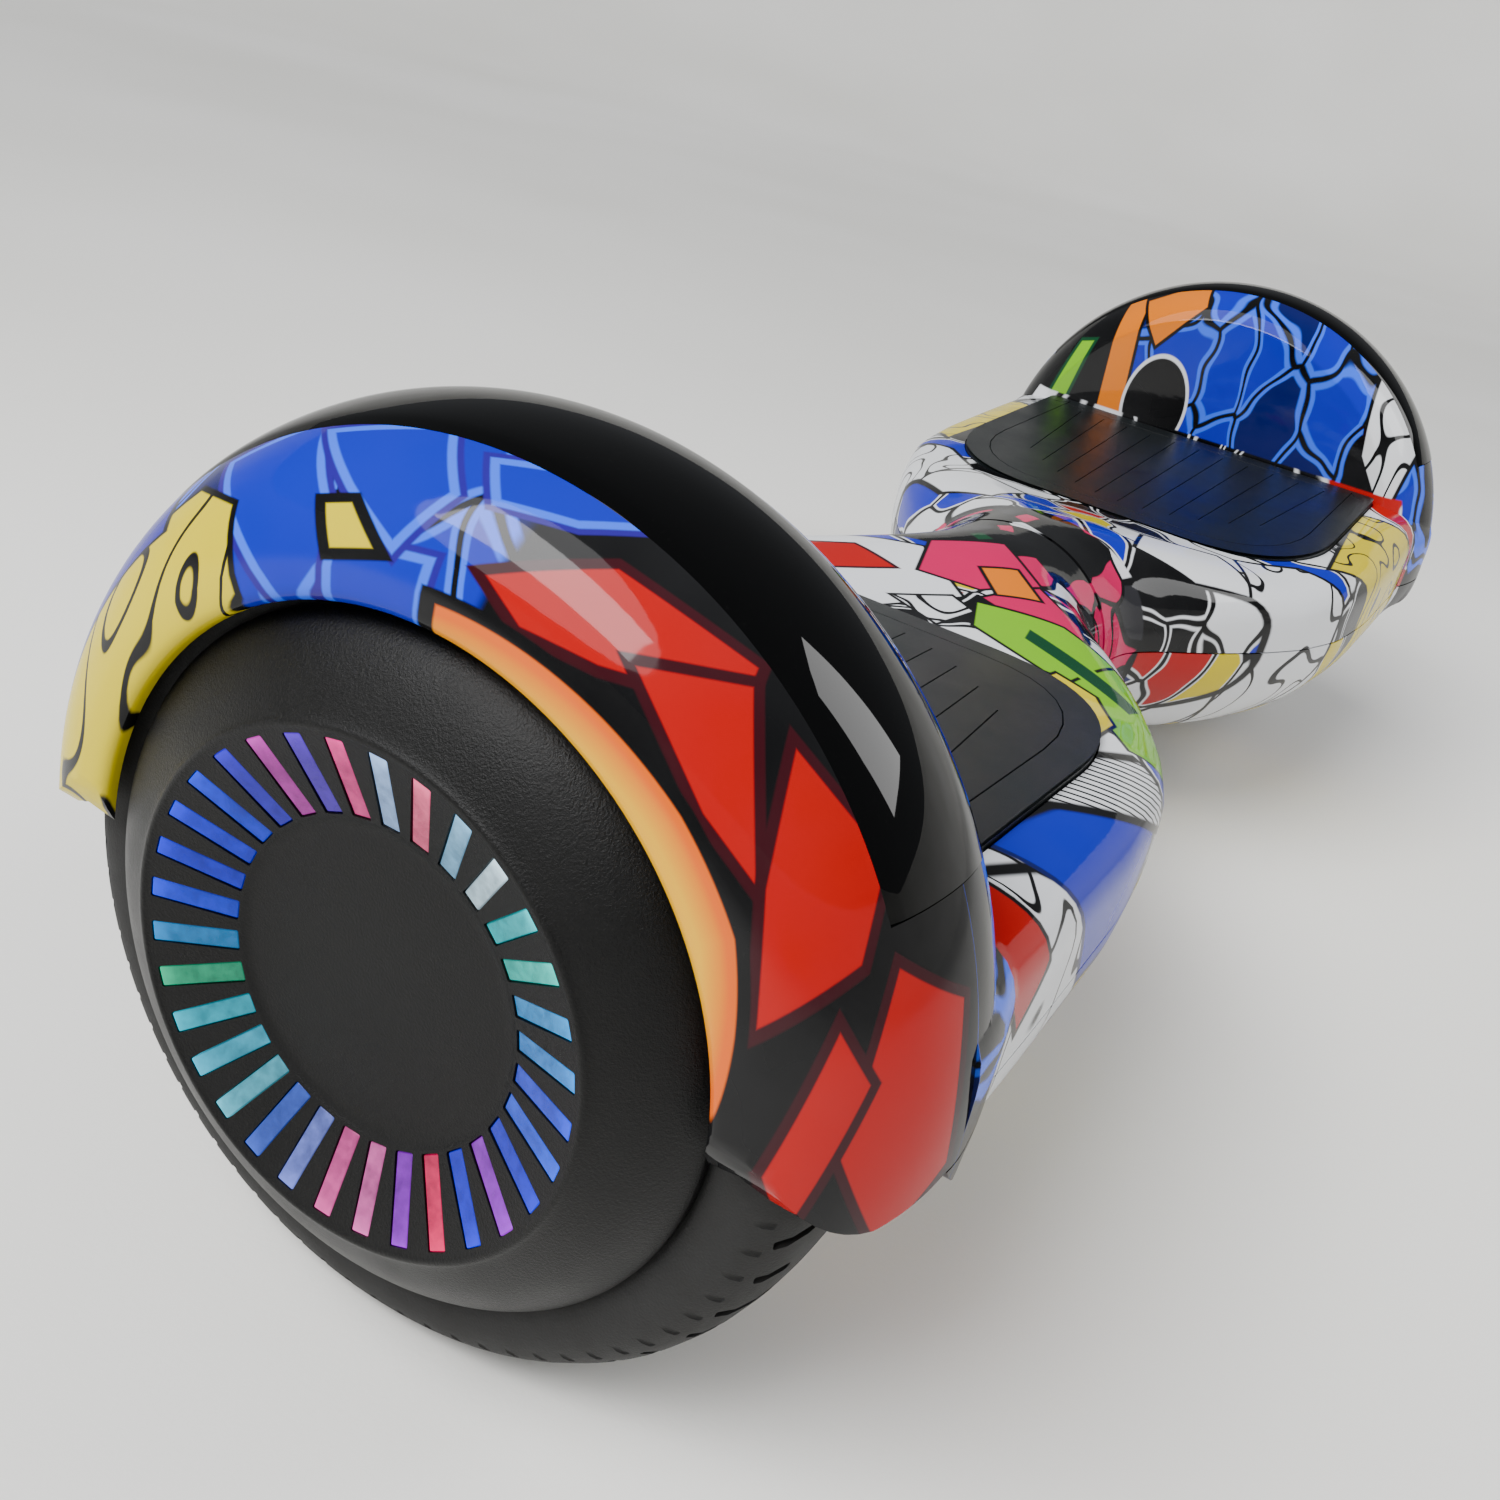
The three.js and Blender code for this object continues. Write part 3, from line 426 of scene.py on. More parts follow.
def swept_band(name, section, degrees, steps, sign=1):
    """A band of closed [u, radius] section swept degrees each side of the top."""
    rings = []
    for k in range(steps + 1):
        angle = math.radians(-degrees + 2 * degrees * k / steps)
        rings.append([(u, r * math.sin(angle), r * math.cos(angle)) for u, r in section])
    return loft(name, rings, sign)


def strip_section(grow=0.0):
    """Section of the gloss strip: the arch's own curve, lifted a little and rounded at both edges."""
    profile = np.array([p for p in arch_profile()[1:] if p[0] <= FACE_U - 2])
    us = np.linspace(STRIP_INNER_U - grow, STRIP_OUTER_U + grow, 22)
    radii = np.interp(us, profile[:, 0], profile[:, 1])
    if grow:
        return list(zip(us, radii + 6)) + list(zip(us[::-1], radii[::-1] - STRIP_THICKNESS - grow))
    lift = STRIP_LIFT - (STRIP_LIFT + STRIP_EDGE) * np.abs(np.linspace(-1, 1, len(us))) ** 14
    return list(zip(us, radii + lift)) + list(zip(us[::-1], radii[::-1] - STRIP_THICKNESS))


def light_outline(grow):
    """Outline of a front light, in u and z."""
    middle, low = 140, 11
    half, tall = 24 + grow, 4.5 + grow
    return [
        (middle - half, low),
        (middle - half + 8, low - tall),
        (middle + half, low - tall),
        (middle + half - 6, low + tall),
        (middle - half + 6, low + tall),
    ]


# ---- Shells --------------------------------------------------------------------------------------


def moved(start, points):
    return [(start[0] + a, start[1] + b) for a, b in points]


def post(low, high, radius):
    """Profile of a plain round bar from low to high."""
    return [(low, 0), (low, radius), (high, radius), (high, 0)]


def shells(side):
    """Upper and lower casing, gloss strip and front light of a half."""
    sign = SIDES[side]
    body = body_solid(f"{side}_upper_casing", sign)
    front = [-FAR, -BODY_HALF_WIDTH / 2]
    light = add_object(f"{side}_light_bar", body.data.copy())
    cut(light, body_hollow("tool", sign))
    combine(light, prism("tool", light_outline(0), front, "Y", sign), "INTERSECT")

    arch = turned("arch", arch_profile() + [(OPENING_U - 1.2, 0)], ARCH_SEGMENTS, sign)
    above = [(0, -ARCH_FOOT), (FAR * 2, -ARCH_FOOT), (FAR * 2, FAR), (0, FAR)]
    combine(arch, prism("tool", above, [-FAR, FAR], "Y", sign), "INTERSECT")
    combine(body, arch, "UNION")
    cut(body, body_hollow("tool", sign))
    cut(body, turned("tool", well_profile(), ARCH_SEGMENTS, sign))
    cut(body, turned("tool", post(WELL_U - 20, WELL_U + 3, AXLE_HOLE), 48, sign))

    lower = add_object(f"{side}_lower_casing", body.data.copy())
    combine(lower, prism("tool", lower_outline(), [-FAR, FAR], "Y", sign), "INTERSECT")
    if side == "right":
        for u, radius in ((PORT_U, PORT_RADIUS), (BUTTON_U, BUTTON_RADIUS)):
            hole = post(-2 * BELLY_DEPTH, -BELLY_DEPTH / 2, radius + GAP)
            cut(lower, turned("tool", hole, 64, 1, "Z", (sign * u, 0)))

    combine(body, prism("tool", upper_outline(), [-FAR, FAR], "Y", sign), "INTERSECT")
    cut(body, prism("tool", pad_outline(PAD_GAP), [0, FAR], "Z", sign))
    cut(body, swept_band("tool", strip_section(GAP), STRIP_ANGLE + 0.2, STRIP_STEPS, sign))
    cut(body, prism("tool", light_outline(GAP), front, "Y", sign))

    strip = swept_band(f"{side}_arch_strip", strip_section(), STRIP_ANGLE, STRIP_STEPS, sign)
    for piece in (body, lower, strip, light):
        smooth(piece)
        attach(piece, f"{side}_half")
    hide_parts(f"{side}_top_shell")
    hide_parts(f"{side}_bottom_shell")
    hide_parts(f"{side}_fender_strip")
    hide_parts(f"{side}_front_light")
    finish_piece(body, PRINT[side])
    finish_piece(lower, PRINT[side])
    finish_piece(strip, GLOSS)
    finish_piece(light, LIGHT)


def finish_piece(piece, material):
    piece.data.materials.clear()
    piece.data.materials.append(material)


# ---- Foot pads -----------------------------------------------------------------------------------

PAD_THICKNESS = 5
PAD_EDGE = 1.2  # depth of the pad's lip, and how far the pad goes in under it
PAD_EDGE_STEPS = 5
SEAM_STEP = 0.01  # keeps two rings of the pad apart
GROOVE_WIDTH = 0.9
GROOVE_DEPTH = 0.8
PANEL_MARGIN = 9  # edge of the pad to its grooved panel


def inset_outline(outline, inset):
    """A convex outline moved inwards along its corner normals."""
    points = np.array(outline)
    before, after = np.roll(points, 1, 0), np.roll(points, -1, 0)
    along = after - before
    normal = np.stack([along[:, 1], -along[:, 0]], 1)
    normal /= np.linalg.norm(normal, axis=1)[:, None]
    middle = points.mean(0)
    outwards = np.sign(((points - middle) * normal).sum(1))[:, None]
    return [tuple(p) for p in points - normal * outwards * inset]


def pad_ring(inset, drop):
    return [(u, y, pad_top(u) - drop) for u, y in inset_outline(pad_outline(), inset)]


def groove(start, end):
    """Cutter of one groove in the sloping top of a pad."""
    direction = (Vector(end) - Vector(start)).normalized()
    across = Vector((-direction.y, direction.x)) * GROOVE_WIDTH / 2
    rings = []
    for u, y in (start, end):
        z = pad_top(u)
        rings.append([
            (u + across.x, y + across.y, z + 1),
            (u - across.x, y - across.y, z + 1),
            (u, y, z - GROOVE_DEPTH),
        ])
    return rings


def foot_pad(side):
    """Rubber pad: straight sides, a hollow round its edge under a lip, and a grooved panel."""
    sign = SIDES[side]
    rings = [pad_ring(0, PAD_THICKNESS), pad_ring(0, PAD_EDGE + SEAM_STEP)]
    for a in np.linspace(math.pi / 2, 0, PAD_EDGE_STEPS):
        rings.append(pad_ring(PAD_EDGE * math.sin(a), PAD_EDGE * (1 - math.cos(a))))
    pad = loft(f"{side}_pad_cover", rings, sign)
    panel = inset_outline(pad_outline(steps=8), PANEL_MARGIN)
    for k in range(len(panel)):
        start, end = Vector(panel[k]), Vector(panel[(k + 1) % len(panel)])
        if (end - start).length > 1:
            more = (end - start).normalized() * 0.2
            cut(pad, loft("tool", groove(tuple(start - more), tuple(end + more)), sign))
    inner_u, outer_u = PAD_INNER + PANEL_MARGIN + 6, PAD_OUTER - PANEL_MARGIN - 5
    for k in range(-5, 6):
        start = (inner_u + 2.1 * k * k * 0.55, 9.2 * k)
        end = (outer_u, 10.6 * k)
        cut(pad, loft("tool", groove(start, end), sign))
    smooth(pad)
    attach(pad, f"{side}_pad")
    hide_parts(f"{side}_foot_pad")
    finish_piece(pad, RUBBER)


# ---- Wheels --------------------------------------------------------------------------------------


TREAD_COUNT = 48
NOTCH_COUNT = 72


def mirrored(half):
    """A profile across the wheel from its points on one side, given as [across, radius]."""
    return [(WHEEL_U - a, r) for a, r in half] + [(WHEEL_U + a, r) for a, r in half[::-1]]


def tread_places():
    """Where the slots go round the tyre: long and short ones by turns, in two slanted rows."""
    long_slots, short_slots = [], []
    pitch = 360 / TREAD_COUNT
    for k in range(TREAD_COUNT):
        for row in (-1, 1):
            turn = Matrix.Rotation(-math.radians(pitch * (k + 0.25 * row)), 4, "X")
            slant = Matrix.Rotation(math.radians(18 * row), 4, "Z")
            across = 13.4 if k % 2 else 15.5
            out = Matrix.Translation((WHEEL_U + row * across, 0, WHEEL_RADIUS - 1.6))
            lean = Matrix.Rotation(math.radians(16 * row), 4, "Y")
            (long_slots if k % 2 else short_slots).append(turn @ out @ lean @ slant)
    return long_slots, short_slots


def shoulder_places():
    """Notches round each shoulder of the tyre."""
    places = []
    for k in range(NOTCH_COUNT):
        for row in (-1, 1):
            turn = Matrix.Rotation(math.radians(360 / NOTCH_COUNT * (k + 0.5)), 4, "X")
            out = Matrix.Translation((WHEEL_U + row * 22.3, 0, WHEEL_RADIUS - 6.6))
            places.append(turn @ out @ Matrix.Rotation(math.radians(52 * row), 4, "Y"))
    return places


def tyre(side):
    """Tyre with its tread, and the rim in it."""
    sign = SIDES[side]
    half = moved((0, RIM_RADIUS), [
        (RIM_HALF, GAP), (RIM_HALF, 2.6), (21.6, 3.6), (22.7, 5.6), (TYRE_HALF, 8.3), (22.9, 11),
        (22.3, 13.6), (21.2, 16), (19.4, 18.2), (16.8, 20),
    ]) + moved((0, WHEEL_RADIUS), [(13, -1.2), (8.5, -0.4), (4, -0.05), (1.6, 0)])
    body = turned(f"{side}_tread", mirrored(half), 240, sign)
    middle_groove = moved((WHEEL_U, WHEEL_RADIUS), [(-1.1, 2), (1.1, 2), (0.7, -2.2), (-0.7, -2.2)])
    cut(body, turned("tool", middle_groove, 120, sign))
    long_slots, short_slots = tread_places()
    cut(body, boxes("tool", (13, 2.1, 6), long_slots, sign, 0.5))
    cut(body, boxes("tool", (7, 2.1, 6), short_slots, sign, 0.5))
    cut(body, boxes("tool", (5.5, 1.5, 2.4), shoulder_places(), sign, 0.4))
    smooth(body, 32)
    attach(body, f"{side}_wheel")
    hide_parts(f"{side}_tyre")
    finish_piece(body, TYRE)

    flange = moved(
        (RIM_HALF + GAP, RIM_RADIUS), [(2, -4.5), (2, 1.4), (1.6, 1.9), (0.5, 2), (0, 1.6), (0, 0)])
    rim = smooth(turned(f"{side}_wheel_rim", mirrored(flange), 160, sign))
    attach(rim, f"{side}_wheel")
    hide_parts(f"{side}_rim")
    finish_piece(rim, ALUMINIUM)


DISH_INNER = WINDOW_INNER - DISH_MARGIN
DISH_OUTER = WINDOW_OUTER + DISH_MARGIN
WINDOW_LENGTH = (WINDOW_OUTER - WINDOW_INNER) / math.cos(DISH_ANGLE)
WINDOW_MIDDLE = (WINDOW_OUTER + WINDOW_INNER) / 2


def dish_u(radius):
    return HALF_LENGTH - 0.3 - (DISH_OUTER - radius) * math.tan(DISH_ANGLE)


def window_places(depth):
    """Places of the windows round the hub, each tilted with the dish and depth behind its face."""
    tilt = Matrix.Rotation(DISH_ANGLE, 4, "Y")
    out = Matrix.Translation((dish_u(WINDOW_MIDDLE), 0, WINDOW_MIDDLE))
    out = out @ tilt @ Matrix.Translation((-depth, 0, 0))
    turns = [-2 * math.pi * k / WINDOW_COUNT for k in range(WINDOW_COUNT)]
    return [Matrix.Rotation(turn, 4, "X") @ out for turn in turns]


def hub(side):
    """Grained cap over the motor, with its ring of windows and the clear bars that fill them."""
    sign = SIDES[side]
    lip = DISH_OUTER + 2.1
    edge = OPENING_RADIUS - 1.5
    centre = dish_u(DISH_INNER) - 1
    thick = CAP_WALL / math.cos(DISH_ANGLE)
    profile = (
        [(centre, 0), (centre + 0.05, 20), (centre + 0.15, 27)]
        + arc(
            (centre + 0.3, DISH_INNER - 1.6), (dish_u(DISH_INNER + 0.6), DISH_INNER + 0.6),
            (centre + 0.6, DISH_INNER - 0.4), (dish_u(DISH_INNER) - 0.1, DISH_INNER), 5)
        + arc(
            (dish_u(DISH_OUTER) - 0.2, DISH_OUTER), (HALF_LENGTH - 0.8, lip),
            (HALF_LENGTH + 0.15, DISH_OUTER + 0.6), (HALF_LENGTH, lip - 0.6), 6)
        + arc(
            (HALF_LENGTH - 1.3, lip + 1), (CAP_SEAT + 2.4, edge - 0.1),
            (HALF_LENGTH - 3, lip + 4.5), (HALF_LENGTH - 6.2, edge - 3.4), 18)
        + [(CAP_SEAT + 1.6, edge), (CAP_SEAT, edge), (CAP_SEAT, edge - 2.4)]
        + [(dish_u(DISH_OUTER + 2) - thick, DISH_OUTER + 2)]
        + [(dish_u(DISH_INNER) - thick, DISH_INNER), (dish_u(DISH_INNER) - thick, 0)]
    )
    cap = turned(f"{side}_wheel_cap", profile, 256, sign)
    size = (4 * CAP_WALL, WINDOW_WIDTH, WINDOW_LENGTH)
    cut(cap, boxes("tool", size, window_places(0), sign, 0.35))
    smooth(cap, 34)
    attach(cap, f"{side}_wheel")
    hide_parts(f"{side}_hub_cap")
    finish_piece(cap, GRAINED)

    bar_depth = CAP_WALL + 1.2
    bars = boxes(
        f"{side}_window_bars", (bar_depth, WINDOW_WIDTH - 0.3, WINDOW_LENGTH - 0.3),
        window_places(bar_depth / 2 + 0.25), sign, 0.3,
    )
    smooth(bars, 40)
    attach(bars, f"{side}_wheel")
    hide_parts(f"{side}_light_lens")
    finish_piece(bars, BARS)


# ---- Underside -----------------------------------------------------------------------------------


def underside():
    """Charging socket, its rubber cover, and the power button, under the right half."""
    at = (-PORT_U, 0)
    low = -BELLY_DEPTH
    socket = moved((low, PORT_RADIUS), [
        (0.4, -0.4), (0, -1), (0, -3.4), (0.6, -4), (12, -4), (12, -PORT_RADIUS), (17, -PORT_RADIUS),
        (17, 0), (1, 0),
    ])
    port = smooth(turned("socket_ring", socket, 72, 1, "Z", at))
    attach(port, "right_half")
    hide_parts("charge_port")
    finish_piece(port, GLOSS)

    top = low - 0.5
    cover_profile = moved((top, PORT_RADIUS), [
        (0, -PORT_RADIUS), (0, 0.6), (-0.4, 1), (-1.2, 1), (-1.6, 0.4), (-1.6, -1.5), (-1.3, -2),
        (-1.3, -PORT_RADIUS),
    ])
    cover = turned("socket_cover", cover_profile, 72, 1, "Z", at)
    plug_profile = moved((top, 0), [(-1, 0), (-1, 6), (2.4, 6), (3, 5.4), (3, 0)])
    combine(cover, turned("tool", plug_profile, 48, 1, "Z", at), "UNION")
    tab_middle = PORT_U + PORT_RADIUS - 0.5
    tab = boxes("tool", (9, 8, 1.6), [Matrix.Translation((tab_middle, 0, top - 0.8))], -1, 0.4)
    combine(cover, tab, "UNION")
    smooth(cover)
    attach(cover, "charge_cover")
    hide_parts("charge_cap")
    finish_piece(cover, RUBBER)

    face = low - 1
    button_profile = moved((face, BUTTON_RADIUS), [
        (13, -BUTTON_RADIUS), (13, 0), (0.7, 0), (0.2, -0.2), (0, -0.8), (0, -2), (0.5, -2.5),
        (0.8, -BUTTON_RADIUS),
    ])
    button = smooth(turned("start_button", button_profile, 72, 1, "Z", (-BUTTON_U, 0)))
    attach(button, "power_button")
    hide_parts("power_button")
    finish_piece(button, GLOSS)


# ---- Materials -----------------------------------------------------------------------------------


def tone(code):
    """Linear colour of a hexadecimal screen colour."""
    parts = [int(code[i:i + 2], 16) / 255 for i in (0, 2, 4)]
    return tuple(p / 12.92 if p <= 0.04045 else ((p + 0.055) / 1.055) ** 2.4 for p in parts) + (1.0,)


class Look:
    """A node material being put together; its methods return output sockets."""

    def __init__(self, name, roughness=0.5, metallic=0.0, **sockets):
        self.material = bpy.data.materials.new(name)
        self.material.use_nodes = True
        self.tree = self.material.node_tree
        self.shader = self.tree.nodes["Principled BSDF"]
        self.shader.inputs["Roughness"].default_value = roughness
        self.shader.inputs["Metallic"].default_value = metallic
        for socket, value in sockets.items():
            self.shader.inputs[socket.replace("_", " ")].default_value = value
        place = self.tree.nodes.new("ShaderNodeTexCoord").outputs["Object"]
        scaled = self.vector("SCALE", place, scale=1 / MM)
        self.place = self.vector("SUBTRACT", scaled, (0, 0, AXLE_Z))

    def set(self, socket, value):
        if isinstance(value, bpy.types.NodeSocket):
            self.tree.links.new(value, socket)
        else:
            socket.default_value = tone(value) if isinstance(value, str) else value

    def math(self, operation, *values):
        node = self.tree.nodes.new("ShaderNodeMath")
        node.operation = operation
        for socket, value in zip(node.inputs, values):
            self.set(socket, value)
        return node.outputs[0]

    def vector(self, operation, *values, scale=None):
        node = self.tree.nodes.new("ShaderNodeVectorMath")
        node.operation = operation
        for socket, value in zip(node.inputs, values):
            self.set(socket, value)
        if scale is not None:
            node.inputs["Scale"].default_value = scale
        return node.outputs["Value"] if operation in ("DOT_PRODUCT", "LENGTH") else node.outputs["Vector"]

    def parts(self, vector):
        node = self.tree.nodes.new("ShaderNodeSeparateXYZ")
        self.set(node.inputs[0], vector)
        return node.outputs

    def join(self, x, y, z):
        node = self.tree.nodes.new("ShaderNodeCombineXYZ")
        for socket, value in zip(node.inputs, (x, y, z)):
            self.set(socket, value)
        return node.outputs[0]

    def mix(self, factor, a, b):
        node = self.tree.nodes.new("ShaderNodeMix")
        node.data_type = "RGBA"
        self.set(node.inputs["Factor"], factor)
        self.set(node.inputs[6], a)
        self.set(node.inputs[7], b)
        return node.outputs[2]

    def ramp(self, factor, stops, steps=False):
        node = self.tree.nodes.new("ShaderNodeValToRGB")
        node.color_ramp.interpolation = "CONSTANT" if steps else "LINEAR"
        elements = node.color_ramp.elements
        for k, (position, colour) in enumerate(stops):
            element = elements[k] if k < 2 else elements.new(position)
            element.position = position
            element.color = colour
        self.set(node.inputs[0], factor)
        return node.outputs["Color"]

    def noise(self, scale, detail=2.0, rough=0.5, vector=None):
        node = self.tree.nodes.new("ShaderNodeTexNoise")
        self.set(node.inputs["Vector"], vector or self.place)
        node.inputs["Scale"].default_value = scale
        node.inputs["Detail"].default_value = detail
        node.inputs["Roughness"].default_value = rough
        return node.outputs["Fac"]

    def cells(self, scale, vector, random=1.0):
        """Distance to a cell's edge, in units of the vector, and the cell's own random number."""
        edge = self.tree.nodes.new("ShaderNodeTexVoronoi")
        edge.feature = "DISTANCE_TO_EDGE"
        own = self.tree.nodes.new("ShaderNodeTexVoronoi")
        for node in (edge, own):
            node.voronoi_dimensions = "2D"
            node.inputs["Scale"].default_value = scale
            node.inputs["Randomness"].default_value = random
            self.set(node.inputs["Vector"], vector)
        distance = self.math("DIVIDE", edge.outputs["Distance"], scale)
        return distance, self.parts(own.outputs["Color"])[0]

    def range(self, value, low, high, to_low, to_high, kind="LINEAR"):
        """Runs from to_low to to_high as value runs from low to high."""
        node = self.tree.nodes.new("ShaderNodeMapRange")
        node.interpolation_type = kind
        self.set(node.inputs["Value"], value)
        limits = {"From Min": low, "From Max": high, "To Min": to_low, "To Max": to_high}
        for socket, number in limits.items():
            node.inputs[socket].default_value = number
        return node.outputs[0]

    def below(self, value, limit, soft=0.3):
        """1 where value is under limit, 0 where it is over."""
        return self.range(value, limit - soft, limit + soft, 1, 0, "SMOOTHSTEP")

    def hypot(self, a, b):
        squares = [self.math("MULTIPLY", value, value) for value in (a, b)]
        return self.math("SQRT", self.math("ADD", *squares))

    def polygon(self, place, outline):
        """Distance from a convex outline, below zero inside it; place holds (a, b, 1)."""
        middle = [sum(p[i] for p in outline) / len(outline) for i in (0, 1)]
        distance = None
        for (a0, b0), (a1, b1) in zip(outline, outline[1:] + outline[:1]):
            length = math.hypot(a1 - a0, b1 - b0)
            normal = ((b1 - b0) / length, (a0 - a1) / length)
            offset = normal[0] * a0 + normal[1] * b0
            if normal[0] * middle[0] + normal[1] * middle[1] > offset:
                normal, offset = (-normal[0], -normal[1]), -offset
            side = self.vector("DOT_PRODUCT", place, (*normal, -offset))
            distance = side if distance is None else self.math("MAXIMUM", distance, side)
        return distance

    def paint(self, ground, distance, fill, border, border_width):
        """Fills where distance is below zero, with a border of a set width round it."""
        ground = self.mix(self.below(distance, border_width), ground, border)
        return self.mix(self.below(distance, 0), ground, fill)

    def shapes(self, ground, place, shapes, border_width):
        """Paints convex shapes, each given as its outline, fill and border."""
        for outline, fill, border in shapes:
            ground = self.paint(ground, self.polygon(place, outline), fill, border, border_width)
        return ground

    def bump(self, height, distance, under=None):
        """Adds relief of a height in millimetres times its 0 to 1 value."""
        node = self.tree.nodes.new("ShaderNodeBump")
        node.inputs["Distance"].default_value = distance * MM
        self.set(node.inputs["Height"], height)
        if under is not None:
            self.set(node.inputs["Normal"], under)
        return node.outputs["Normal"]

    def done(self, colour=None, roughness=None, normal=None):
        for name, value in (("Base Color", colour), ("Roughness", roughness), ("Normal", normal)):
            if value is not None:
                self.set(self.shader.inputs[name], value)
        return self.material


BLACK = tone("030304")
WHITE = tone("d6d8dc")
RED = tone("a80000")
DARK_RED = tone("30000a")
BLUE = tone("0018a8")
DEEP_BLUE = tone("000a54")
SKY = tone("2c60f0")
VIOLET = tone("240c80")
YELLOW = tone("ccb800")
ORANGE = tone("d47000")
LIME = tone("70b000")
GREEN = tone("003c20")
PINK = tone("c00050")
GREY = tone("26262a")


def flattened(look, sign):
    """Distance from the middle, angle from the top, run along the arch, and the arch laid flat."""
    x, y, z = look.parts(look.place)
    u = look.math("MULTIPLY", x, float(sign))
    radius = look.hypot(y, z)
    run = look.math("ADD", radius, look.math("SUBTRACT", FACE_U, u))
    stretch = look.math("DIVIDE", run, radius)
    flat = look.join(look.math("MULTIPLY", y, stretch), look.math("MULTIPLY", z, stretch), 1.0)
    degrees = look.math("MULTIPLY", look.math("ARCTAN2", y, z), 180 / math.pi)
    return u, degrees, run, flat


def shards(look, place, size, stops, outline, outline_width, gap_width):
    """Angular patches in a few colours, each with a bright outline and a black gap round it."""
    distance, own = look.cells(1 / size, place, 0.85)
    fill = look.ramp(own, stops, True)
    edge = look.mix(look.below(distance, gap_width + outline_width), fill, outline)
    return look.mix(look.below(distance, gap_width), edge, BLACK)


def tilted(look, place, degrees, stretch):
    """The same place turned and stretched, so that what is drawn on it leans."""
    node = look.tree.nodes.new("ShaderNodeMapping")
    node.inputs["Rotation"].default_value = (0, 0, math.radians(degrees))
    node.inputs["Scale"].default_value = (1, stretch, 1)
    look.set(node.inputs["Vector"], place)
    return node.outputs["Vector"]


def inked(look, colour):
    """A colour with loose black pen strokes over it."""
    swirl = look.noise(0.035, 1, 0.4, look.vector("MULTIPLY", look.place, (1.0, 1.0, 0.45)))
    stroke = look.math("PINGPONG", look.math("MULTIPLY", swirl, 9.0), 0.5)
    return look.mix(look.below(stroke, 0.075, 0.02), colour, BLACK)


def printed_shell(side):
    """Glossy shell under a print of bold abstract shards, bars and spots."""
    look = Look(
        f"{side}_print", roughness=0.3, Specular_IOR_Level=0.0, Coat_Weight=0.6,
        Coat_Roughness=0.05, Coat_IOR=1.4)
    u, degrees, run, flat = flattened(look, SIDES[side])
    y, z = look.parts(look.place)[1:]
    wobble = look.join(look.noise(0.035, 1), look.noise(0.042, 1), 0.0)
    flat_soft = look.vector("ADD", flat, look.vector("SCALE", wobble, scale=16.0))

    # body: patches drawn on a sheet wrapped round the axle line
    sheet = look.join(u, look.math("MULTIPLY", degrees, 1.15), 0.0)
    sheet = look.vector("ADD", sheet, look.vector("SCALE", wobble, scale=30.0))
    mixed = [
        (0, WHITE), (0.3, BLACK), (0.5, BLUE), (0.66, WHITE), (0.8, BLACK), (0.93, RED), (0.97, YELLOW),
    ]
    body = shards(look, tilted(look, sheet, 28, 0.5), 19, mixed, WHITE, 0.9, 0.8)
    low = [(0, BLACK), (0.22, YELLOW), (0.4, WHITE), (0.66, DEEP_BLUE), (0.9, RED)]
    under = shards(look, tilted(look, sheet, -20, 0.6), 21, low, WHITE, 0.7, 0.8)
    body = look.mix(look.below(z, 0), body, under)

    # neck: pink and orange blocks on dark grey
    neck = [(0, GREY), (0.34, PINK), (0.46, BLACK), (0.72, ORANGE), (0.78, WHITE), (0.9, PINK)]
    neck = shards(look, tilted(look, sheet, 12, 0.5), 13, neck, BLACK, 0.7, 0.3)
    body = look.mix(look.below(u, 40 if side == "left" else 26, 0.5), body, neck)

    blue = [(0, BLUE), (0.5, DEEP_BLUE), (0.72, BLACK), (0.86, BLUE)]
    wall_place = look.join(y, z, 1.0)
    outside = look.below(u, ARCH_U)
    wall_soft = look.vector("ADD", wall_place, look.vector("SCALE", wobble, scale=22.0))
    arch_place = look.mix(outside, flat_soft, wall_soft)
    arch = shards(look, tilted(look, arch_place, 35, 0.5), 19, blue, SKY, 1.4, 0.7)
    top = look.below(look.math("MULTIPLY", z, -1.0), 0)
    if side == "left":
        body = left_patches(look, body, look.join(u, degrees, 1.0), look.join(u, y, 1.0), top)
        arch = look.mix(outside, left_arch(look, arch, flat, degrees, run), arch)
    else:
        body = right_patches(look, body, look.join(u, look.math("ABSOLUTE", y), 1.0))
        arch = look.mix(outside, arch, right_wall(look, arch, wall_place, y, z))

    # the arch's print ends at the well wall, and lower down at the deck
    inwards = look.below(u, WELL_U + 2, 0.4)
    under_deck = look.below(z, deck_at(WELL_U) + 2, 0.4)
    colour = look.mix(look.math("MULTIPLY", inwards, under_deck), arch, body)
    colour = look.mix(look.below(u, WELL_U - WALL - 1.5, 0.4), colour, body)

    fade = look.noise(0.02, 3)
    colour = look.mix(look.range(fade, 0.3, 0.8, 0.0, 0.02), colour, WHITE)
    peel = look.noise(0.32, 1)
    scratch = look.noise(0.9, 4, 0.7)
    roughness = look.range(scratch, 0.35, 0.75, 0.25, 0.4)
    normal = look.bump(peel, 0.02)
    look.set(look.shader.inputs["Coat Normal"], look.bump(peel, 0.014))
    return look.done(colour, roughness, normal)


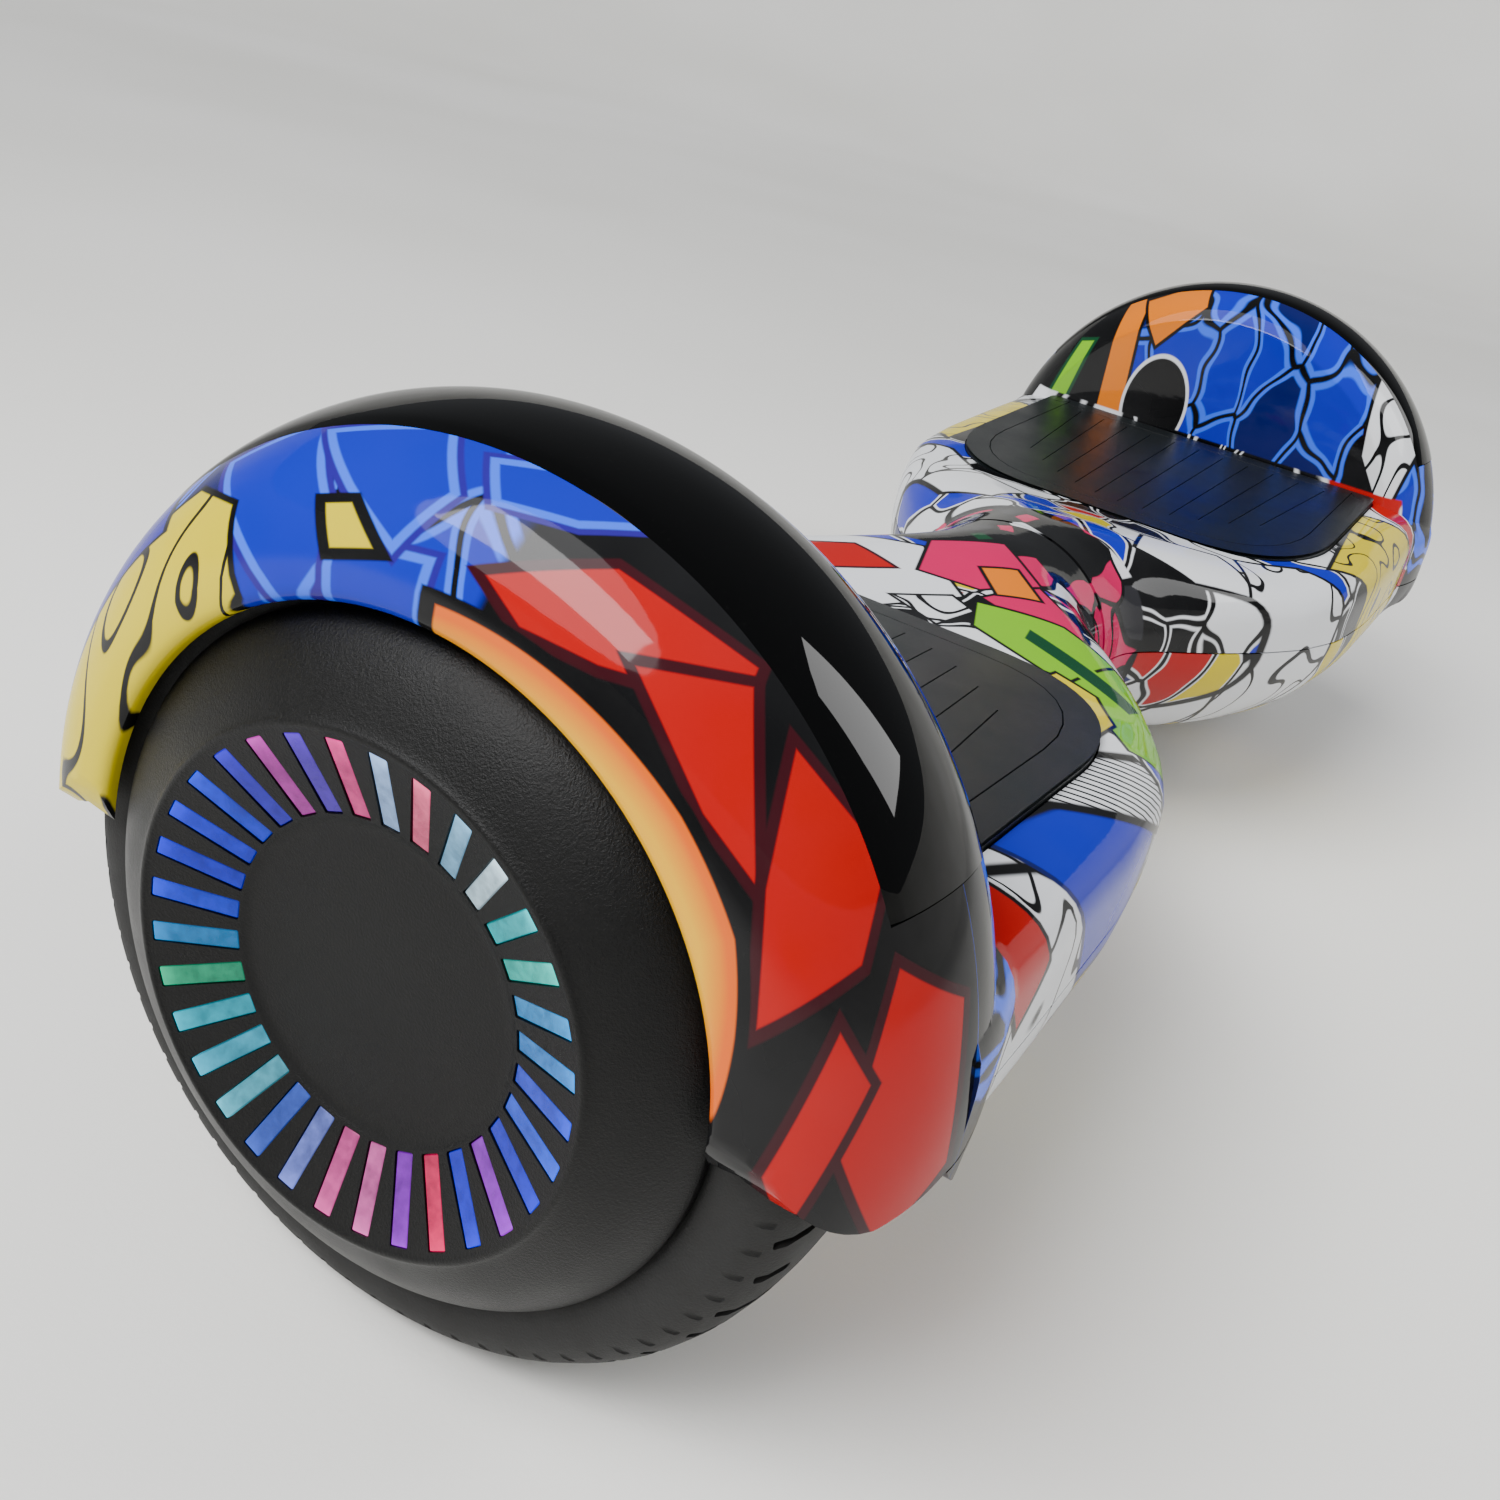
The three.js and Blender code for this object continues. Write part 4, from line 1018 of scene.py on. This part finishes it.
def left_arch(look, ground, flat, degrees, run):
    """Red slabs behind, blue shards before, a yellow patch at the front end and an orange crescent."""
    rear = look.below(degrees, 8, 1.0)
    ground = look.mix(rear, BLACK, ground)
    slabs = [
        [(10, 80), (30, 93), (58, 88), (57, 79), (32, 74), (18, 74)],
        [(38, 77), (58, 84), (65, 52), (54, 59)],
        [(68, 77), (90, 65), (88, 46), (70, 30), (67, 52)],
        [(97, 47), (117, 42), (124, 4), (108, -9), (92, 12)],
        [(86, 34), (95, 26), (84, -4), (77, 6)],
        [(66, 96), (92, 80), (104, 66), (96, 92), (78, 104)],
    ]
    ground = look.shapes(ground, flat, [(slab, RED, DARK_RED) for slab in slabs], 2.2)
    blues = [
        [(-60, 84), (-44, 100), (-18, 74), (-26, 60)],
        [(-18, 74), (-1, 77), (-1, 66), (-17, 64)],
        [(-37, 98), (-14, 108), (-3, 93), (-8, 79), (-21, 87)],
        [(1, 104), (16, 110), (31, 106), (20, 99), (6, 96)],
    ]
    for shape in blues:
        distance = look.polygon(flat, shape)
        ground = look.mix(look.below(distance, 3.2), ground, VIOLET)
        ground = look.paint(ground, distance, BLUE, SKY, 1.8)
    fleck = [(-24, 81), (-19, 83), (-11, 76), (-19, 73)]
    ground = look.shapes(ground, flat, [(fleck, YELLOW, BLACK)], 2.4)
    patch = [(-62, 75), (-46, 74), (-37, 58), (-70, 2), (-112, -8), (-96, 30)]
    ground = look.shapes(ground, flat, [(patch, inked(look, YELLOW), BLACK)], 1.6)
    rim = look.math("MAXIMUM", look.math("SUBTRACT", 91.5, run), look.math("ADD", degrees, 46))
    ground = look.paint(ground, rim, look.mix(look.noise(0.05), BLUE, VIOLET), BLACK, 1.2)

    taper = look.math("ADD", 66.0, look.math("MULTIPLY", look.math("SUBTRACT", 84, degrees), 0.36))
    rise = look.math("ADD", 71.0, look.math("MULTIPLY", degrees, 0.12))
    edge = look.math("SUBTRACT", run, look.math("MINIMUM", look.math("MINIMUM", 76.0, rise), taper))
    crescent = look.math("MAXIMUM", edge, look.math("SUBTRACT", 2.5, degrees))
    across = look.range(look.math("ADD", edge, look.noise(0.04)), -6, -1, 0, 1)
    gold = look.mix(across, "e0a400", "d85c00")
    return look.paint(ground, crescent, gold, BLACK, 2.6)


def left_patches(look, ground, wrapped, plan, top):
    """Hatching, blue, white and red down the rear side; lime, pink and white across the inner deck."""
    u, degrees = look.parts(wrapped)[:2]
    bars = look.math("ADD", look.math("MULTIPLY", degrees, 1.6), look.math("MULTIPLY", u, 0.9))
    bars = look.math("PINGPONG", bars, 1.3)
    hatch = look.mix(look.below(bars, 0.42, 0.12), WHITE, BLACK)
    side_shapes = [
        ([(170, 88), (196, 72), (238, 64), (244, 92), (214, 104), (182, 108)], inked(look, WHITE), BLACK),
        ([(130, 79), (150, 72), (198, 66), (188, 78), (174, 92), (138, 94)], BLUE, DEEP_BLUE),
        ([(212, 69), (227, 67), (231, 76), (219, 85), (208, 79)], RED, BLACK),
        ([(116, 74), (162, 62), (166, 69), (122, 82)], hatch, BLACK),
        ([(160, 62.5), (234, 56.5), (236, 62), (166, 69)], hatch, BLACK),
        ([(150, 97), (186, 96), (202, 106), (176, 114)], ORANGE, BLACK),
    ]
    ground = look.shapes(ground, wrapped, side_shapes, 1.4)
    deck_shapes = [
        ([(86, -82), (50, -46), (44, -14), (64, 8), (86, -6)], WHITE, BLACK),
        ([(72, -52), (56, -30), (62, -14), (82, -34)], RED, DARK_RED),
        ([(78, -6), (66, 6), (70, 14), (84, 10)], inked(look, WHITE), BLACK),
        ([(38, -14), (24, 3), (40, 22), (56, 10), (58, -8)], PINK, BLACK),
        ([(41, 22), (50, 38), (60, 44), (66, 30), (60, 13)], PINK, BLACK),
        ([(44, 5), (37, 13), (48, 25), (55, 15)], ORANGE, BLACK),
        ([(20, -6), (24, -8), (27, -4), (23, -1)], GREEN, BLACK),
        ([(64, 13), (57, 36), (63, 60), (84, 66), (86, 42), (77, 18)], LIME, BLACK),
        ([(62, 54), (86, 50), (112, 74), (106, 84), (76, 84)], LIME, BLACK),
        ([(67, 30), (73, 31), (86, 66), (79, 67)], GREEN, LIME),
        ([(85, 45), (94, 43), (106, 56), (120, 66), (101, 66), (88, 57)], YELLOW, BLACK),
    ]
    return look.mix(top, ground, look.shapes(ground, plan, deck_shapes, 1.2))


def right_patches(look, ground, plan):
    """Inked yellow on both shoulders of the far half, and white shapes across its inner deck."""
    shapes = [
        ([(40, 26), (62, 22), (78, 44), (66, 62), (48, 46)], WHITE, BLACK),
        ([(66, 62), (84, 50), (104, 68), (112, 88), (84, 84)], inked(look, WHITE), BLACK),
        ([(120, 76), (196, 70), (218, 96), (150, 98)], inked(look, YELLOW), BLACK),
    ]
    return look.shapes(ground, plan, shapes, 1.6)


def right_wall(look, ground, place, y, z):
    """Inner wall of the far arch: orange and green strokes, a dark oval and a white patch."""
    shapes = [
        ([(-94, 20), (-70, 66), (-53, 82), (-44, 40), (-46, 12)], BLACK, BLACK),
        ([(-75, 26), (-67, 31), (-62, 58), (-68, 56)], LIME, GREEN),
        ([(-54, 78), (-45, 81), (-40, 16), (-51, 18)], ORANGE, BLACK),
        ([(-46, 79), (-24, 93), (-20, 84), (-35, 64)], ORANGE, BLACK),
        ([(54, 80), (78, 54), (76, 24), (60, 46)], inked(look, WHITE), BLACK),
    ]
    ground = look.shapes(ground, place, shapes, 1.4)
    across = look.math("DIVIDE", look.math("ADD", y, 28.0), 13.0)
    up = look.math("DIVIDE", look.math("SUBTRACT", z, 40.0), 20.0)
    oval = look.math("MULTIPLY", look.math("SUBTRACT", look.hypot(across, up), 1.0), 14.0)
    return look.paint(ground, oval, BLACK, WHITE, 1.3)


def gloss_black():
    look = Look(
        "gloss_black", roughness=0.1, Specular_IOR_Level=0.0, Coat_Weight=0.8,
        Coat_Roughness=0.02, Coat_IOR=1.4)
    dust = look.noise(1.3, 5, 0.7)
    colour = look.mix(look.range(dust, 0.62, 0.8, 0, 0.25), "020202", "242424")
    roughness = look.range(look.noise(0.15, 4), 0.3, 0.8, 0.05, 0.16)
    return look.done(colour, roughness, look.bump(look.noise(0.25, 1), 0.01))


def grained_black():
    look = Look("grained_black", roughness=0.45, Specular_IOR_Level=0.2)
    grain = look.noise(1.9, 3, 0.65)
    fine = look.noise(5.0, 2, 0.6)
    height = look.math("ADD", look.math("MULTIPLY", grain, 0.7), look.math("MULTIPLY", fine, 0.3))
    worn = look.noise(0.05, 4)
    colour = look.mix(look.range(worn, 0.35, 0.75, 0, 1), "030303", "080808")
    speck = look.noise(2.4, 2, 0.8)
    colour = look.mix(look.range(speck, 0.7, 0.8, 0, 0.3), colour, "504e4a")
    roughness = look.range(worn, 0.3, 0.8, 0.36, 0.5)
    return look.done(colour, roughness, look.bump(height, 0.22))


def pad_rubber():
    look = Look("pad_rubber", roughness=0.4, Specular_IOR_Level=0.25)
    worn = look.noise(0.045, 4, 0.6)
    dust = look.noise(0.9, 5, 0.75)
    colour = look.mix(look.range(worn, 0.3, 0.75, 0, 1), "0a0e10", "141a1c")
    colour = look.mix(look.range(dust, 0.66, 0.8, 0, 0.3), colour, "585852")
    height = look.noise(3.0, 3, 0.6)
    return look.done(colour, look.range(worn, 0.3, 0.8, 0.3, 0.46), look.bump(height, 0.06))


def tyre_rubber():
    look = Look("tyre_rubber", roughness=0.8)
    dust = look.noise(0.08, 5, 0.7)
    colour = look.mix(look.range(dust, 0.4, 0.8, 0, 0.7), "070707", "1c1b19")
    height = look.noise(2.0, 4, 0.6)
    return look.done(colour, look.range(dust, 0.3, 0.8, 0.7, 0.92), look.bump(height, 0.15))


def metal(name, base, light, roughness, grain):
    """Machined or cast metal: fine grain, slight stains and uneven shine."""
    look = Look(name, roughness=roughness, metallic=1.0)
    stain = look.noise(0.06, 4, 0.6)
    colour = look.mix(look.range(stain, 0.3, 0.75, 0, 1), base, light)
    turning = look.noise(grain, 3, 0.6)
    shine = look.range(stain, 0.3, 0.8, roughness - 0.1, roughness + 0.12)
    return look.done(colour, shine, look.bump(turning, 0.06))


def circuit():
    look = Look("circuit", roughness=0.4)
    distance, own = look.cells(0.2, look.place, 0.6)
    colour = look.mix(look.below(distance, 0.35, 0.1), "0f4a28", "2c7a4a")
    colour = look.mix(look.below(own, 0.12, 0.01), colour, "1a1a1c")
    return look.done(colour, look.range(look.noise(0.4), 0.3, 0.7, 0.35, 0.55), look.bump(distance, 0.2))


def windings():
    look = Look("windings", roughness=0.35, metallic=1.0)
    y, z = look.parts(look.place)[1:]
    turns = look.math("PINGPONG", look.math("MULTIPLY", look.math("ARCTAN2", y, z), 60.0), 1.0)
    # The copper is darkest in the grooves between turns and lightest on their crests, following the
    # relief: painted shade in the grooves and painted highlight on the crests.
    colour = look.mix(turns, "6a3518", "c0754a")
    return look.done(colour, look.range(look.noise(0.3), 0.3, 0.7, 0.3, 0.5), look.bump(turns, 0.3))


def plastic(name, base, light, roughness):
    """Plain moulded or wrapped plastic with a fine texture and slight discolouring."""
    look = Look(name, roughness=roughness)
    stain = look.noise(0.05, 4)
    colour = look.mix(look.range(stain, 0.3, 0.75, 0, 1), base, light)
    shine = look.range(stain, 0.3, 0.8, roughness - 0.08, roughness + 0.1)
    return look.done(colour, shine, look.bump(look.noise(1.6, 3), 0.08))


def window_bars():
    """Clear bars lit from their outer ends, their colour running round the wheel."""
    look = Look("window_bars", roughness=0.3, Specular_IOR_Level=0.2)
    y, z = look.parts(look.place)[1:]
    turn = look.math("DIVIDE", look.math("ARCTAN2", y, z), 2 * math.pi)
    turn = look.math("FRACT", look.math("ADD", turn, 1 + 0.5 / WINDOW_COUNT))
    names = (
        "a0c8ff ff6090 80c0e8 d0f0ff 00c8d0 00d8c8 0098e8 0088e8 0038f0 1050ff 0018e8 a000e0 "
        "0818f0 f01060 9000d0 e060b0 e050a0 7080e0 3858c8 50b8d0 30b0d0 00b0c8 00a878 0080c8 "
        "0030f0 0018e0 0020f0 0030f0 2810d0 c030b0 5018c8 f03090"
    ).split()
    stops = [(k / WINDOW_COUNT, tone(name)) for k, name in enumerate(names)]
    colour = look.ramp(turn, stops, True)
    end = look.range(look.hypot(y, z), WINDOW_INNER, WINDOW_OUTER, 0, 1)
    glow = look.math("ADD", look.math("POWER", end, 6.0), 0.3)
    streak = look.noise(0.35, 3, 0.6)
    body = look.mix(look.range(streak, 0.3, 0.7, 0.55, 0.85), colour, "101218")
    look.set(look.shader.inputs["Emission Color"], colour)
    look.set(look.shader.inputs["Emission Strength"], glow)
    return look.done(body, look.range(streak, 0.3, 0.7, 0.15, 0.35), look.bump(streak, 0.05))


def front_light_lens():
    look = Look("front_light_lens", roughness=0.12, Coat_Weight=1.0)
    prisms = look.math("PINGPONG", look.parts(look.place)[0], 1.5)
    colour = look.mix(look.range(prisms, 0, 1.5, 0, 1), "c8d4e0", "f4f8ff")
    look.set(look.shader.inputs["Emission Color"], colour)
    look.shader.inputs["Emission Strength"].default_value = 0.12
    return look.done(colour, look.range(look.noise(0.3), 0.3, 0.7, 0.08, 0.2), look.bump(prisms, 0.25))


PRINT = {side: printed_shell(side) for side in SIDES}
GLOSS = gloss_black()
GRAINED = grained_black()
RUBBER = pad_rubber()
TYRE = tyre_rubber()
BARS = window_bars()
LIGHT = front_light_lens()
ALUMINIUM = metal("cast_aluminium", "8c9094", "b4b8bc", 0.42, 1.2)
STEEL = metal("turned_steel", "74787e", "9aa0a6", 0.32, 2.2)
CIRCUIT = circuit()
WINDINGS = windings()
NYLON = plastic("nylon", "cfcabc", "e8e4d8", 0.5)
BATTERY = plastic("battery_wrap", "1c3c8c", "3058b0", 0.4)
WIRE = plastic("wire_sleeve", "101012", "26262a", 0.55)

CAD_LOOKS = {
    ALUMINIUM: ("chassis", "axle_clamp", "motor_outer_cover", "motor_inner_cover"),
    STEEL: (
        "clamp_screw_front", "clamp_screw_rear", "axle", "pivot_pin", "outer_bearing",
        "inner_bearing", "magnet_ring",
    ),
    WINDINGS: ("stator",),
    CIRCUIT: ("gyro_board", "led_board"),
}
OWN_LOOKS = {
    BATTERY: ("battery_pack",),
    NYLON: ("pivot_bush_inner", "pivot_bush_outer"),
    STEEL: ("retaining_ring", "pivot_tube"),
    CIRCUIT: ("main_board",),
    ALUMINIUM: ("heat_sink",),
    WIRE: ("wire_harness",),
}


def dress(node, material):
    """Gives a CAD node that stays its own material."""
    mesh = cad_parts[node].data
    if not mesh.materials:
        mesh.materials.append(material)
    for k in range(len(mesh.materials)):
        mesh.materials[k] = material


# ---- Studio --------------------------------------------------------------------------------------


def studio():
    """Pale floor that curves up all round, a wide soft lamp and two softboxes."""
    look = Look("studio_paper", roughness=0.8)
    colour = look.mix(look.range(look.noise(0.0016, 2), 0.3, 0.7, 0, 1), "eeede8", "f8f7f4")
    paper = look.done(colour, None, look.bump(look.noise(0.6, 3), 0.05))
    flat, sweep, segments = 3.0, 1.5, 96
    line = [(0.0, 0.0), (0.5, 0.0), (flat, 0.0)]
    for a in np.linspace(0.08, math.pi / 2, 16):
        line.append((flat + sweep * math.sin(a), sweep * (1 - math.cos(a))))
    made = bmesh.new()
    rings = []
    for k in range(segments):
        angle = 2 * math.pi * k / segments
        rings.append([made.verts.new((r * math.cos(angle), r * math.sin(angle), up)) for r, up in line])
    for ring, after in zip(rings, rings[1:] + rings[:1]):
        for k in range(len(line) - 1):
            made.faces.new((ring[k], ring[k + 1], after[k + 1], after[k]))
    bmesh.ops.remove_doubles(made, verts=made.verts, dist=1e-5)
    mesh = bpy.data.meshes.new("studio_floor")
    made.to_mesh(mesh)
    made.free()
    mesh.materials.append(paper)
    mesh.shade_smooth()
    floor = add_object("studio_floor", mesh)

    world = bpy.data.worlds.new("studio")
    world.use_nodes = True
    background = world.node_tree.nodes["Background"].inputs
    background["Color"].default_value = tone("e6eaf0")
    background["Strength"].default_value = 0.25
    bpy.context.scene.world = world
    key = (0.595, -0.287, 0.748)
    light = bpy.data.lights.new("wide_lamp", "SUN")
    light.energy = 2.5
    light.angle = math.radians(50)
    lamp = add_object("wide_lamp", light)
    lamp.rotation_euler = Vector(key).to_track_quat("Z", "Y").to_euler()
    softbox("key_light", (0.25, 0.05, 0.16), key, 1.2, (0.9, 0.45), 18)
    softbox("rear_light", (0.26, 0.063, 0.152), (-0.5, 0.6, 0.63), 1.2, (0.42, 0.6), 6)


def softbox(name, target, direction, distance, size, power):
    """A soft rectangular light that faces target from a direction."""
    light = bpy.data.lights.new(name, "AREA")
    light.shape = "RECTANGLE"
    light.size, light.size_y = size
    light.energy = power
    lamp = add_object(name, light)
    away = Vector(direction).normalized()
    lamp.location = Vector(target) + away * distance
    lamp.rotation_euler = away.to_track_quat("Z", "Y").to_euler()


def camera():
    """Looks down along the board from beyond its left wheel, rolled a little."""
    lens = bpy.data.cameras.new("camera")
    lens.lens = 37.943
    lens.sensor_width = 36
    eye = add_object("camera", lens)
    place = Vector((0.45949, 0.13905, 0.24371))
    aim = Vector((-0.01238, -0.07837, 0))
    roll = math.radians(13.325)
    turn = (place - aim).to_track_quat("Z", "Y").to_matrix().to_4x4()
    eye.matrix_world = Matrix.Translation(place) @ turn @ Matrix.Rotation(roll, 4, "Z")
    bpy.context.scene.camera = eye


# ---- Everything ----------------------------------------------------------------------------------

camera()
studio()
for side in SIDES:
    shells(side)
    foot_pad(side)
    tyre(side)
    hub(side)
    for material, parts in CAD_LOOKS.items():
        for part in parts:
            dress(f"{side}_{part}", material)
underside()
for material, nodes in OWN_LOOKS.items():
    for node in nodes:
        dress(node, material)
